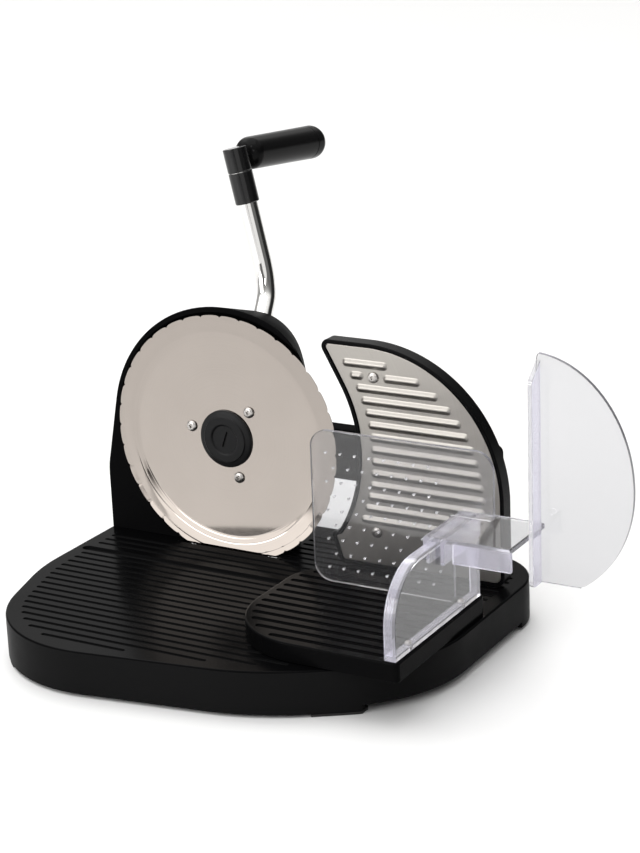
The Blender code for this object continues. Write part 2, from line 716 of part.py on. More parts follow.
def build_cover():
    edge = 0.0016
    rings = [housing_ring(COVER_FRONT), housing_ring(COVER_BACK - edge),
             housing_ring(COVER_BACK - 0.3 * edge, -0.3 * edge), housing_ring(COVER_BACK, -edge)]
    cover = piece("rear_cover", loft("rear_cover", rings), "satin_black", smooth=True)
    boss = [(BOSS_RADIUS, COVER_BACK - 0.002), (BOSS_RADIUS, BOSS_BACK - 0.003),
            (BOSS_RADIUS - 0.001, BOSS_BACK - 0.001), (BOSS_RADIUS - 0.003, BOSS_BACK)]
    join(cover, turned("crank_boss", boss, 0.0, CRANK_AXIS_Z, 36))
    join(cover, cylinder("spindle_rear_boss", 0.0135, COVER_BACK - 0.002, BOSS_BACK - 0.002, 0.0,
                         BLADE_AXIS_Z))
    bush = SHAFT_RADIUS + BUSH_WALL + FIT
    cut(cover, cylinder("cover_crank_bore", bush, 0.0, BOSS_BACK + BEYOND, 0.0, CRANK_AXIS_Z))
    cut(cover, cylinder("cover_spindle_bore", bush, 0.0, BOSS_BACK - 0.004, 0.0, BLADE_AXIS_Z))
    for k, (x, z) in enumerate(housing_screw_spots()):
        cut(cover, cylinder("cover_screw_hole_%d" % k, 0.0020, 0.0, COVER_BACK + BEYOND, x,
                            BLADE_AXIS_Z + z, 12))


def build_cover_screws():
    seat = COVER_BACK + FIT
    for k, (x, z) in enumerate(housing_screw_spots()):
        name = "cover_screw_%d" % (k + 1)
        piece(name, screw_mesh(name, 0.0034, 0.0022, 0.0014, seat, HOUSING_BACK - 0.011, x,
                               BLADE_AXIS_Z + z), "steel", smooth=True)


def bush_mesh(name, y0, y1, z):
    inner = SHAFT_RADIUS + FIT
    outer = SHAFT_RADIUS + BUSH_WALL
    return turned(name, [(inner, y0), (outer, y0), (outer, y1), (inner, y1)], 0.0, z, hollow=True)


def build_bushes():
    back = POCKET_FLOOR + BUSH_LENGTH
    rear = COVER_FRONT + FIT
    for name, y0, y1, z in (
            ("spindle_bush", POCKET_FLOOR, back, BLADE_AXIS_Z),
            ("crank_bush", POCKET_FLOOR + 0.0015, back, CRANK_AXIS_Z),
            ("spindle_rear_bush", rear, BOSS_BACK - 0.0043, BLADE_AXIS_Z),
            ("crank_rear_bush", rear, BOSS_BACK - FIT, CRANK_AXIS_Z)):
        piece(name, bush_mesh(name, y0, y1, z), "brass", smooth=True)


# Blade and its drive

def blade_mesh():
    """A dished disc whose rim is ground into waves."""
    steps = BLADE_WAVES * WAVE_STEPS
    half = BLADE_THICKNESS / 2
    edge = BLADE_EDGE / 2
    hole = SHAFT_RADIUS + FIT
    ramp = BLADE_DISH
    profile = [
        (hole, BLADE_DISH - half, 0), (BLADE_STEP_RADIUS - ramp, BLADE_DISH - half, 0),
        (BLADE_STEP_RADIUS, -half, 0), (BLADE_RADIUS - BLADE_BEVEL, -half, 0),
        (BLADE_RADIUS, -edge, 1), (BLADE_RADIUS, edge, 1),
        (BLADE_STEP_RADIUS, half, 0), (BLADE_STEP_RADIUS - ramp, BLADE_DISH + half, 0),
        (hole, BLADE_DISH + half, 0)]
    bm = bmesh.new()
    loops = []
    for radius, y, waved in profile:
        loop = []
        for k in range(steps):
            phase = (k % WAVE_STEPS) / WAVE_STEPS
            dip = BLADE_WAVE_DEPTH * (1 - math.cos(2 * math.pi * phase)) / 2 if waved else 0.0
            a = 2 * math.pi * k / steps
            r = radius - dip
            loop.append(bm.verts.new((r * math.cos(a), y, BLADE_AXIS_Z + r * math.sin(a))))
        loops.append(loop)
    for one, two in zip(loops, loops[1:] + loops[:1]):
        for k in range(steps):
            bm.faces.new((one[k - 1], one[k], two[k], two[k - 1]))
    return mesh_of(bm, "blade")


def blade_screw_spots():
    """Screws round the hub, from the blade's axis."""
    turn = 360 / BLADE_SCREW_COUNT
    angles = [math.radians(BLADE_SCREW_ANGLE + turn * k) for k in range(BLADE_SCREW_COUNT)]
    return [(BLADE_SCREW_CIRCLE * math.cos(a), BLADE_SCREW_CIRCLE * math.sin(a)) for a in angles]


def build_blade():
    axis = (0.0, 0.0, BLADE_AXIS_Z)
    disc_back = BLADE_DISH + BLADE_THICKNESS / 2
    disc_front = BLADE_DISH - BLADE_THICKNESS / 2
    disc = piece("blade_disc", blade_mesh(), "stainless", axis, smooth=True)
    carrier_front = disc_back + FIT
    carrier_back = POCKET_FLOOR - 0.0006
    profile = [(SHAFT_RADIUS + FIT, carrier_front), (CARRIER_RADIUS, carrier_front),
               (CARRIER_RADIUS, carrier_back), (SHAFT_RADIUS + FIT, carrier_back)]
    carrier = piece("blade_carrier", turned("blade_carrier", profile, 0.0, BLADE_AXIS_Z, 40, True),
                    "satin_black", axis, smooth=True)
    for k, (x, z) in enumerate(blade_screw_spots()):
        hole = cylinder("blade_screw_hole_%d" % k, 0.0019, -BEYOND, BEYOND, x, BLADE_AXIS_Z + z, 12)
        cut(disc, hole)
        cut(carrier, cylinder("carrier_thread_%d" % k, 0.0019, -BEYOND, carrier_back - 0.0005, x,
                              BLADE_AXIS_Z + z, 12))
        name = "blade_screw_%d" % (k + 1)
        piece(name, screw_mesh(name, 0.0038, 0.0018, 0.0016, disc_front - FIT, carrier_back - 0.0009, x,
                               BLADE_AXIS_Z + z), "steel", axis, smooth=True)
    end = BOSS_BACK - 0.0047
    spindle = [(SHAFT_RADIUS - 0.0005, disc_front + FIT), (SHAFT_RADIUS, disc_front + 0.001),
               (SHAFT_RADIUS, end - 0.001), (SHAFT_RADIUS - 0.001, end)]
    spindle = piece("blade_spindle", turned("blade_spindle", spindle, 0.0, BLADE_AXIS_Z), "steel", axis,
                    smooth=True)
    cut(spindle, cylinder("spindle_socket", CAP_STEM_RADIUS + FIT, -BEYOND, CAP_STEM_END + 0.001, 0.0,
                          BLADE_AXIS_Z, 16))
    wheel = piece("blade_gear", gear("blade_gear", BLADE_TEETH, GEAR_Y, 0.0, BLADE_AXIS_Z,
                                     BLADE_TEETH / 4), "nylon", axis)
    join(wheel, cylinder("blade_gear_hub", GEAR_HUB_RADIUS, GEAR_Y + 0.001, COVER_FRONT - 0.0008, 0.0,
                         BLADE_AXIS_Z, 24))
    cut(wheel, cylinder("blade_gear_bore", SHAFT_RADIUS + FIT, 0.0, BOSS_BACK, 0.0, BLADE_AXIS_Z))


def build_lock_cap():
    """The bayonet cap that holds the blade on its spindle: a coin slot in its recessed middle."""
    seat = BLADE_DISH - BLADE_THICKNESS / 2 - FIT
    front = seat - CAP_HEIGHT
    floor = front + CAP_RECESS
    profile = [(0.0, floor), (CAP_RECESS_RADIUS, floor), (CAP_RECESS_RADIUS + 0.0003, front)]
    steps = ((0.78, 0.0), (0.82, 0.14), (0.95, 0.32), (1.0, 0.62), (1.0, 1.0))
    profile += [(CAP_RADIUS * share, front + CAP_HEIGHT * fall) for share, fall in steps]
    profile += [(CAP_STEM_RADIUS, seat), (CAP_STEM_RADIUS, CAP_STEM_END), (0.0, CAP_STEM_END)]
    cap = piece("blade_lock_cap", turned("blade_lock_cap", profile, 0.0, BLADE_AXIS_Z, 28), "satin_black",
                (0.0, 0.0, BLADE_AXIS_Z), smooth=True)
    half_width = COIN_SLOT_WIDTH / 2
    half_length = COIN_SLOT_LENGTH / 2
    slot = block("coin_slot", -half_width, half_width, floor - BEYOND, floor + COIN_SLOT_DEPTH,
                 -half_length, half_length)
    slot.transform(Matrix.Rotation(COIN_SLOT_LEAN, 4, "Y"))
    slot.transform(Matrix.Translation((0.0, 0.0, BLADE_AXIS_Z)))
    cut(cap, slot)


# Crank

CRANK_AXIS = (0.0, 0.0, CRANK_AXIS_Z)


def on_arm(reach, y):
    """A point at a distance from the crank axis along the leaning arm."""
    return Vector((-reach * math.sin(CRANK_LEAN), y, CRANK_AXIS_Z + reach * math.cos(CRANK_LEAN)))


def tube(name, points, radius, steps=20):
    """A round bar along a smooth row of points, with flat ends."""
    rings = []
    side = Vector((math.cos(CRANK_LEAN), 0.0, math.sin(CRANK_LEAN)))
    for k, point in enumerate(points):
        before = points[max(k - 1, 0)]
        after = points[min(k + 1, len(points) - 1)]
        along = (after - before).normalized()
        up = side.cross(along).normalized()
        ring = []
        for j in range(steps):
            a = 2 * math.pi * j / steps
            ring.append(tuple(point + side * (radius * math.cos(a)) + up * (radius * math.sin(a))))
        rings.append(ring)
    return loft(name, rings)


def smooth_row(points, steps):
    """More points along a smooth curve through the given ones."""
    row = []
    for k in range(len(points) - 1):
        p1, p2 = points[k], points[k + 1]
        p0 = points[max(k - 1, 0)]
        p3 = points[min(k + 2, len(points) - 1)]
        for j in range(steps):
            t = j / steps
            row.append(0.5 * (2 * p1 + (p2 - p0) * t + (2 * p0 - 5 * p1 + 4 * p2 - p3) * t ** 2
                              + (3 * p1 - p0 - 3 * p2 + p3) * t ** 3))
    return row + [points[-1]]


def arm_points(start):
    """The arm leaves the hub, bends away from the housing and straightens along the sleeve."""
    step = ARM_FAR_Y - ARM_NEAR_Y
    bend = ((0.0155, 0.01), (0.0205, 0.11), (0.0254, 0.30), (0.0310, 0.57), (0.0370, 0.78), (0.0485, 0.95),
            (0.0590, 1.00))
    points = [on_arm(start, ARM_NEAR_Y)]
    points += [on_arm(reach, ARM_NEAR_Y + step * share) for reach, share in bend]
    return smooth_row(points, 2) + [on_arm(ARM_END, ARM_FAR_Y)]


def build_crank():
    front = POCKET_FLOOR + 0.0018
    profile = [(SHAFT_RADIUS - 0.0005, front), (SHAFT_RADIUS, front + 0.0005),
               (SHAFT_RADIUS, BOSS_BACK + CRANK_HUB_LENGTH - 0.003)]
    piece("crank_shaft", turned("crank_shaft", profile, 0.0, CRANK_AXIS_Z), "steel", CRANK_AXIS, smooth=True)
    wheel = piece("drive_gear", gear("drive_gear", DRIVE_TEETH, GEAR_Y, 0.0, CRANK_AXIS_Z,
                                     -DRIVE_TEETH / 4 + 0.5), "nylon", CRANK_AXIS)
    join(wheel, cylinder("drive_gear_hub", GEAR_HUB_RADIUS, GEAR_Y + 0.001, COVER_FRONT - 0.0008, 0.0,
                         CRANK_AXIS_Z, 24))
    cut(wheel, cylinder("drive_gear_bore", SHAFT_RADIUS + FIT, 0.0, BOSS_BACK, 0.0, CRANK_AXIS_Z))
    y0 = BOSS_BACK + FIT
    y1 = BOSS_BACK + CRANK_HUB_LENGTH
    radius = CRANK_HUB_RADIUS
    profile = [(radius - 0.001, y0), (radius, y0 + 0.001), (radius, y1 - 0.002), (radius - 0.003, y1)]
    hub = piece("crank_hub", turned("crank_hub", profile, 0.0, CRANK_AXIS_Z, 36), "satin_black", CRANK_AXIS,
                smooth=True)
    collar_end = CRANK_HUB_RADIUS + HUB_COLLAR
    collar = tube("hub_collar", [on_arm(SHAFT_RADIUS, ARM_NEAR_Y), on_arm(collar_end, ARM_NEAR_Y)],
                  ARM_RADIUS + HUB_COLLAR_WALL, 24)
    join(hub, collar)
    cut(hub, cylinder("hub_bore", SHAFT_RADIUS + FIT, 0.0, y1 - 0.0022, 0.0, CRANK_AXIS_Z))
    arm_start = SHAFT_RADIUS + SOCKET_FLOOR
    cut(hub, tube("hub_socket", [on_arm(arm_start, ARM_NEAR_Y), on_arm(collar_end + BEYOND, ARM_NEAR_Y)],
                  ARM_RADIUS + FIT, 20))
    piece("crank_arm", tube("crank_arm", arm_points(arm_start + FIT), ARM_RADIUS), "chrome", CRANK_AXIS,
          smooth=True)
    build_sleeves()


def build_sleeves():
    """The two plastic sleeves at the arm's end; the upper one carries the grip's pin."""
    for name, start, end in (("crank_sleeve", SLEEVE_START, SLEEVE_SEAM - FIT),
                             ("crank_elbow", SLEEVE_SEAM, SLEEVE_TOP)):
        edge = 0.0006
        rings = []
        along = (on_arm(1.0, 0.0) - on_arm(0.0, 0.0))
        side = Vector((math.cos(CRANK_LEAN), 0.0, math.sin(CRANK_LEAN)))
        for reach, radius in ((start, SLEEVE_RADIUS - edge), (start + edge, SLEEVE_RADIUS),
                              (end - edge, SLEEVE_RADIUS), (end, SLEEVE_RADIUS - edge)):
            centre = on_arm(reach, ARM_FAR_Y)
            rings.append([tuple(centre + side * (radius * math.cos(math.radians(a)))
                                + side.cross(along) * (radius * math.sin(math.radians(a))))
                          for a in range(0, 360, 15)])
        sleeve = piece(name, loft(name, rings), "satin_black", CRANK_AXIS, smooth=True)
        if name == "crank_elbow":
            neck = grip_turned("elbow_neck", [(NECK_RADIUS, 0.002), (NECK_RADIUS, GRIP_START - FIT)], 24)
            join(sleeve, neck)
            cut(sleeve, grip_turned("elbow_pin_hole", [(PIN_RADIUS + FIT, PIN_ROOT - FIT),
                                                       (PIN_RADIUS + FIT, GRIP_START + BEYOND)], 20))
        cut(sleeve, tube(name + "_bore", [on_arm(SLEEVE_START - BEYOND, ARM_FAR_Y),
                                          on_arm(ARM_END + FIT, ARM_FAR_Y)],
                         ARM_RADIUS + FIT, 20))


def grip_frame():
    """The grip's axis: away from the housing, drooping a little along the arm."""
    root = on_arm(CRANK_REACH, ARM_FAR_Y)
    inward = on_arm(0.0, 0.0) - on_arm(1.0, 0.0)
    along = Vector((0.0, math.cos(GRIP_DROOP), 0.0)) + inward * math.sin(GRIP_DROOP)
    side = Vector((math.cos(CRANK_LEAN), 0.0, math.sin(CRANK_LEAN)))
    return root, along, side, side.cross(along)


def grip_turned(name, profile, steps=28, hollow=False):
    """A profile of (radius, distance) points spun about the grip's axis."""
    root, along, side, up = grip_frame()
    mesh = turned(name, profile, 0.0, 0.0, steps, hollow)
    for vertex in mesh.vertices:
        x, y, z = vertex.co
        vertex.co = root + side * x + along * y + up * z
    return mesh


def grip_radius(distance):
    share = (distance - GRIP_START) / GRIP_LENGTH
    return GRIP_RADIUS_NEAR + (GRIP_RADIUS_FAR - GRIP_RADIUS_NEAR) * share


def build_grip():
    root = grip_frame()[0]
    end = GRIP_START + GRIP_LENGTH
    seam = end - GRIP_CAP_LENGTH
    bore = PIN_RADIUS + FIT
    dome = 0.0085
    profile = [(bore, GRIP_START)]
    for k in range(6):
        a = math.radians(25 + 65 * k / 5)
        profile.append((grip_radius(GRIP_START + dome) * math.sin(a), GRIP_START + dome * (1 - math.cos(a))))
    profile += [(grip_radius(seam - FIT), seam - FIT), (bore, seam - FIT)]
    piece("crank_grip", grip_turned("crank_grip", profile, 24, True), "soft_grey", root, smooth=True)
    profile = [(bore, seam), (grip_radius(seam), seam)]
    cap_dome = GRIP_RADIUS_FAR * 0.95
    for k in range(8):
        a = math.radians(90 * k / 7)
        profile.append((GRIP_RADIUS_FAR * math.cos(a), end - cap_dome + cap_dome * math.sin(a)))
    profile[-1] = (0.0, end)
    hole = seam + 0.004
    profile += [(0.0, hole), (bore, hole)]
    cap = grip_turned("grip_end_cap", profile[1:-2], 24)
    cap = piece("grip_end_cap", cap, "soft_grey", root, smooth=True)
    cut(cap, grip_turned("cap_hole", [(bore, seam - BEYOND), (bore, hole)], 20))
    pin = [(PIN_RADIUS, PIN_ROOT), (PIN_RADIUS, hole - FIT)]
    piece("grip_pin", grip_turned("grip_pin", pin, 20), "steel", root, smooth=True)


# Stop plate

def stop_outline():
    """The crescent, seen from the front: u along X, v up from the blade axis."""
    low = BASE_TOP + STOP_FOOT_CLEARANCE - BLADE_AXIS_Z
    right = STOP_OUTER_X + STOP_OUTER_RADIUS
    top = STOP_OUTER_Z + STOP_OUTER_RADIUS
    tip = (math.sqrt((STOP_INNER_RADIUS + STOP_TIP_CLEARANCE) ** 2 - top ** 2), top)
    turn = tangent_angle(0.0, 0.0, STOP_INNER_RADIUS, tip[0], tip[1], -1)
    inner = arc(0.0, 0.0, STOP_INNER_RADIUS, turn, STOP_INNER_END, 8)
    heel = (inner[-1][0] - STOP_HEEL_X, inner[-1][1] - STOP_HEEL_Z)
    start = rounded([heel + (0,), (STOP_FOOT_LEFT, low, STOP_ROUND), (right, low, STOP_ROUND_RIGHT),
                     (right, STOP_OUTER_Z, 0)])
    outer = arc(STOP_OUTER_X, STOP_OUTER_Z, STOP_OUTER_RADIUS, 0, 90, 16)
    point = rounded([(STOP_OUTER_X, top, 0), tip + (STOP_ROUND,), inner[0] + (0,)])
    end = rounded([inner[-1] + (0,), heel + (STOP_HEEL_ROUND,), (STOP_FOOT_LEFT, low, 0)])
    return start[1:-1] + outer + point[1:-1] + inner + end[1:-1]


def raised(outline, v_shift=BLADE_AXIS_Z):
    return [(u, v + v_shift) for u, v in outline]


def sheet_rows():
    """Heights of the sheet's rows above the blade axis; the last one holds the lower screw alone."""
    height = STOP_OUTER_Z + STOP_OUTER_RADIUS - SHEET_RIB_RIGHT - SHEET_RIB_FIRST
    lowest = BASE_TOP + STOP_FOOT_CLEARANCE + SHEET_FOOT_BAND - BLADE_AXIS_Z
    rows = []
    while height > lowest:
        rows.append(height)
        height -= SHEET_RIB_PITCH
    return rows


def row_start(v):
    """Left end of a row of the sheet, round the blade."""
    return math.sqrt((STOP_INNER_RADIUS + SHEET_RIB_LEFT) ** 2 - v ** 2)


def sheet_screw_x():
    return row_start(sheet_rows()[1]) + SHEET_SCREW_IN


def sheet_ribs():
    """Pressed ribs: left ends round the blade, right ends inside the outer edge."""
    spans = []
    right_radius = STOP_OUTER_RADIUS - SHEET_RIB_RIGHT
    for k, v in enumerate(sheet_rows()[:-1]):
        left = row_start(v)
        right = STOP_OUTER_X + math.sqrt(right_radius ** 2 - (v - STOP_OUTER_Z) ** 2)
        if k == 1:
            spans.append((left, sheet_screw_x() - SHEET_RIB_CLEAR, v))
            spans.append((sheet_screw_x() + SHEET_RIB_CLEAR, right, v))
        else:
            spans.append((left, right, v))
    return spans


def build_stop_plate():
    origin = (ADJUSTER_X, STOP_REST_Y, (BRACKET_LOW + BRACKET_HIGH) / 2)
    outline = raised(stop_outline())
    front = STOP_REST_Y - STOP_RIM_PROUD
    back = front + STOP_FRAME_DEPTH
    floor = STOP_REST_Y + SHEET_THICKNESS + FIT
    frame = piece("stop_frame", prism("stop_frame", outline, "Y", front, back, 0.0005), "satin_black", origin)
    cut(frame, prism("stop_pocket", inset(outline, STOP_RIM), "Y", front - BEYOND, floor))
    cut(frame, prism("stop_back_hollow", inset(outline, STOP_RIM + FIT), "Y", floor + STOP_WEB,
                     back + BEYOND))
    middle = (BRACKET_LOW + BRACKET_HIGH) / 2
    for k, x in enumerate(ROD_X + (ADJUSTER_X,)):
        join(frame, cylinder("stop_boss_%d" % k, ROD_RADIUS + 0.0035, floor + STOP_WEB - 0.001, back, x,
                             middle, 20))
        cut(frame, cylinder("stop_socket_%d" % k, ROD_RADIUS + FIT, floor + STOP_WEB + 0.0004,
                            back + BEYOND, x, middle, 24))
    shape = inset(outline, STOP_RIM + FIT)
    sheet = piece("stop_sheet", prism("stop_sheet", shape, "Y", STOP_REST_Y, STOP_REST_Y + SHEET_THICKNESS),
                  "stainless", origin)
    for k, (left, right, v) in enumerate(sheet_ribs()):
        rings = []
        for w, sunk in ((STOP_REST_Y + 0.0003, 0.0), (STOP_REST_Y - 0.5 * SHEET_RIB_HEIGHT, 0.0005),
                        (STOP_REST_Y - SHEET_RIB_HEIGHT, 0.0016)):
            ring = inset(stadium(left, right, v + BLADE_AXIS_Z, SHEET_RIB_WIDTH, 3), sunk)
            rings.append([(u, w, z) for u, z in ring])
        join(sheet, loft("sheet_rib_%d" % k, rings))
    rows = sheet_rows()
    screw_x = sheet_screw_x()
    for k, v in enumerate((rows[1], rows[-1])):
        z = BLADE_AXIS_Z + v
        cut(sheet, cylinder("sheet_hole_%d" % k, 0.0019, front - BEYOND, back, screw_x, z, 12))
        cut(frame, cylinder("frame_thread_%d" % k, 0.0019, front, back + BEYOND, screw_x, z, 12))
        name = ("sheet_screw_top", "sheet_screw_bottom")[k]
        piece(name, screw_mesh(name, 0.0036, 0.0016, 0.0016, STOP_REST_Y - FIT, floor + STOP_WEB + 0.002,
                               screw_x, z), "steel", origin, smooth=True)
    for name, x in zip(("guide_rod_left", "guide_rod_right"), ROD_X):
        piece(name, cylinder(name, ROD_RADIUS, floor + STOP_WEB + 0.0008, ROD_BACK, x, middle, 20),
              "chrome", origin, smooth=True)
    piece("adjusting_screw", cylinder("adjusting_screw", ADJUSTER_RADIUS, floor + STOP_WEB + 0.0008,
                                      ROD_BACK, ADJUSTER_X, middle, 20), "steel", origin, smooth=True)


def build_knob():
    """The thickness knob: a nut on the adjusting screw, turned behind the bracket."""
    middle = (BRACKET_LOW + BRACKET_HIGH) / 2
    y0 = BRACKET_Y + BRACKET_DEPTH + FIT
    outline = []
    steps = KNOB_LOBES * 4
    for k in range(steps):
        a = 2 * math.pi * k / steps
        radius = KNOB_RADIUS - 0.0007 * (1 - math.cos(a * KNOB_LOBES)) / 2
        outline.append((ADJUSTER_X + radius * math.cos(a), middle + radius * math.sin(a)))
    knob = piece("thickness_knob", prism("thickness_knob", outline, "Y", y0, y0 + KNOB_DEPTH, 0.0005, 0.0015),
                 "satin_black", (ADJUSTER_X, y0, middle))
    cut(knob, cylinder("knob_bore", ADJUSTER_RADIUS + SLIDE, y0 - BEYOND, y0 + KNOB_DEPTH + BEYOND,
                       ADJUSTER_X, middle, 24))


# Carriage

def tray_outline():
    return rounded([(TRAY_LEFT, TRAY_BACK, 0.026), (TRAY_LEFT, TRAY_FRONT, 0.055),
                    (TRAY_RIGHT, TRAY_FRONT, 0.0035), (TRAY_RIGHT, TRAY_BACK, 0.006)])


def wall_x():
    """Left and right faces of the clear side wall."""
    right = TRAY_RIGHT - WALL_INSET
    return right - CLEAR, right


def build_tray():
    outline = tray_outline()
    body = prism("carriage_tray", outline, "Z", TRAY_LOW, TRAY_HIGH, 0.0005, 0.0008)
    tray = piece("carriage_tray", body, "gloss_black", (TRAY_LEFT, GUIDE_Y, TRAY_LOW))
    under = TRAY_HIGH - TRAY_TOP
    cut(tray, prism("tray_hollow", inset(outline, TRAY_WALL), "Z", TRAY_LOW - BEYOND, under))
    border = inset(outline, TRAY_MARGIN)
    left_face = wall_x()[0]
    grooves = []
    y = TRAY_FRONT + TRAY_MARGIN + TRAY_GROOVE_WIDTH
    while y + TRAY_GROOVE_WIDTH / 2 < TRAY_BACK - TRAY_MARGIN:
        low = crossing(border, y)[0]
        grooves.append(stadium(low, left_face - WALL_BAND, y, TRAY_GROOVE_WIDTH, 2))
        y += TRAY_RIB_PITCH
    cut(tray, prisms("tray_grooves", grooves, "Z", TRAY_HIGH - TRAY_GROOVE_DEPTH, TRAY_HIGH + BEYOND))
    for k, y in enumerate(wall_screw_ys()):
        cut(tray, upright("tray_screw_hole_%d" % k, 0.0019, left_face - WALL_SCREW_INSET, y, under - BEYOND,
                          TRAY_HIGH + BEYOND, 12))


def build_runner():
    """The guide shoe under the tray; its keel runs in the base's wide groove."""
    x0 = TRAY_LEFT + RUNNER_START
    x1 = x0 + RUNNER_LENGTH
    half = RUNNER_WIDTH / 2
    keel = GUIDE_WIDTH / 2 - SLIDE
    low = BASE_TOP - GUIDE_DEPTH + SLIDE
    under = TRAY_HIGH - TRAY_TOP - FIT
    shoe = TRAY_LOW + 0.0006
    wall = TRAY_WALL + FIT
    profile = [(-keel, low), (keel, low), (keel, shoe), (half, shoe), (half, under), (-half, under),
               (-half, shoe), (-keel, shoe)]
    outline = [(GUIDE_Y + u, v) for u, v in profile]
    start = max(x0, crossing(inset(tray_outline(), wall), GUIDE_Y + half)[0] + 0.0005)
    piece("carriage_runner", prism("carriage_runner", outline, "X", start, x1), "nylon",
          (TRAY_LEFT, GUIDE_Y, TRAY_LOW))


def wall_screw_ys():
    return (WALL_FRONT + WALL_SCREW_FRONT, WALL_BACK - WALL_SCREW_REAR)


def wall_profile(sunk=0.0):
    """The wall from the side: u along Y, v up."""
    low = TRAY_HIGH + FIT
    high = low + WALL_HEIGHT
    outline = rounded([(WALL_FRONT, low, 0), (WALL_BACK, low, 0), (WALL_BACK, high, 0.004),
                       (WALL_FRONT, high, WALL_CORNER)])
    return inset(outline, sunk) if sunk else outline


def build_wall():
    """The clear wall on the tray's right side, stiffened by a band along its edge."""
    left, right = wall_x()
    band_left = left - (WALL_BAND - CLEAR)
    wall = piece("carriage_wall", prism("carriage_wall", wall_profile(), "X", band_left, right), "clear",
                 (TRAY_LEFT, GUIDE_Y, TRAY_LOW))
    cut(wall, prism("wall_hollow", wall_profile(WALL_BAND_THICKNESS), "X", band_left - BEYOND, left))
    for k, y in enumerate(wall_screw_ys()):
        cut(wall, upright("wall_screw_hole_%d" % k, 0.0019, left - WALL_SCREW_INSET, y, TRAY_HIGH - 0.001,
                          TRAY_HIGH + BEYOND, 12))
    head = TRAY_HIGH + FIT + WALL_BAND_THICKNESS + FIT
    for name, y in zip(("wall_screw_front", "wall_screw_rear"), wall_screw_ys()):
        rings = []
        for radius, z in ((0.0014, TRAY_HIGH - TRAY_TOP - 0.003), (0.0014, head), (0.0022, head),
                          (0.0022, head + 0.0010), (0.0015, head + 0.0016)):
            rings.append([(u, v, z) for u, v in arc(left - WALL_SCREW_INSET, y, radius, 0, 324, 9)])
        piece(name, loft(name, rings), "steel", (TRAY_LEFT, GUIDE_Y, TRAY_LOW))


def saddle_levels():
    """Underside and top of the pusher's saddle, over the wall's top band."""
    low = TRAY_HIGH + FIT + WALL_HEIGHT + SLIDE
    return low, low + CLEAR


def build_pusher():
    """The clear plate with rows of small spikes that press the food to the blade."""
    left, right = wall_x()
    band_left = left - (WALL_BAND - CLEAR)
    saddle_low, saddle_high = saddle_levels()
    low = TRAY_HIGH + SLIDE
    high = low + PUSHER_HEIGHT
    plate_left = TRAY_LEFT + PUSHER_LEFT
    lower_right = band_left - SLIDE - SADDLE_LIP - FIT
    upper_right = right + PUSHER_OVERHANG
    step = saddle_high + FIT
    y0, y1 = PUSHER_Y - CLEAR / 2, PUSHER_Y + CLEAR / 2
    outline = rounded([(plate_left, low, PUSHER_CORNER), (lower_right, low, 0.004), (lower_right, step, 0),
                       (upper_right, step, 0.003), (upper_right, high, PUSHER_CORNER),
                       (plate_left, high, PUSHER_CORNER)])
    origin = (left, PUSHER_Y, low)
    body = prism("pusher_plate", outline, "Y", y0, y1, 0.0004, 0.0004)
    plate = piece("pusher_plate", body, "clear", origin)
    spikes = []
    border = inset(outline, SPIKE_MARGIN)
    row = 0
    z = low + SPIKE_ROW_MARGIN
    while z < high - SPIKE_ROW_MARGIN:
        x = plate_left + SPIKE_FIRST + (row % 2) * SPIKE_PITCH / 2
        while x < lower_right - SPIKE_LAST:
            if crossing(border, z) and crossing(border, z)[0] < x < crossing(border, z)[1]:
                rings = [[(u, y1 - 0.0004, v) for u, v in arc(x, z, SPIKE_RADIUS, 0, 270, 3)],
                         [(u, y1 + SPIKE_HEIGHT, v) for u, v in arc(x, z, 0.00022, 0, 270, 3)]]
                spikes.append(loft("spike", rings))
            x += SPIKE_PITCH
        z += SPIKE_ROW_PITCH
        row += 1
    join(plate, merged("spikes", spikes))
    build_saddle(origin)
    build_shield(origin)


def build_saddle(origin):
    """The clear saddle that rides on the wall and carries the plate and the shield."""
    left, right = wall_x()
    band_left = left - (WALL_BAND - CLEAR)
    low, high = saddle_levels()
    lip = low - SADDLE_LIP_HEIGHT
    inner_left = band_left - SLIDE
    inner_right = right + SLIDE
    end = right + SADDLE_REACH
    profile = [(inner_left - SADDLE_LIP, lip), (inner_left, lip), (inner_left, low), (inner_right, low),
               (inner_right, lip), (inner_right + SADDLE_LIP, lip), (inner_right + SADDLE_LIP, low),
               (end, low), (end, high), (inner_left - SADDLE_LIP, high)]
    saddle = piece("pusher_saddle", prism("pusher_saddle", profile, "Y", SADDLE_FRONT, SADDLE_BACK), "clear",
                   origin)
    rail = block("saddle_rail", inner_right + 0.008, end, SADDLE_FRONT, SADDLE_FRONT + CLEAR, low - 0.012,
                 low + 0.001)
    join(saddle, rail)


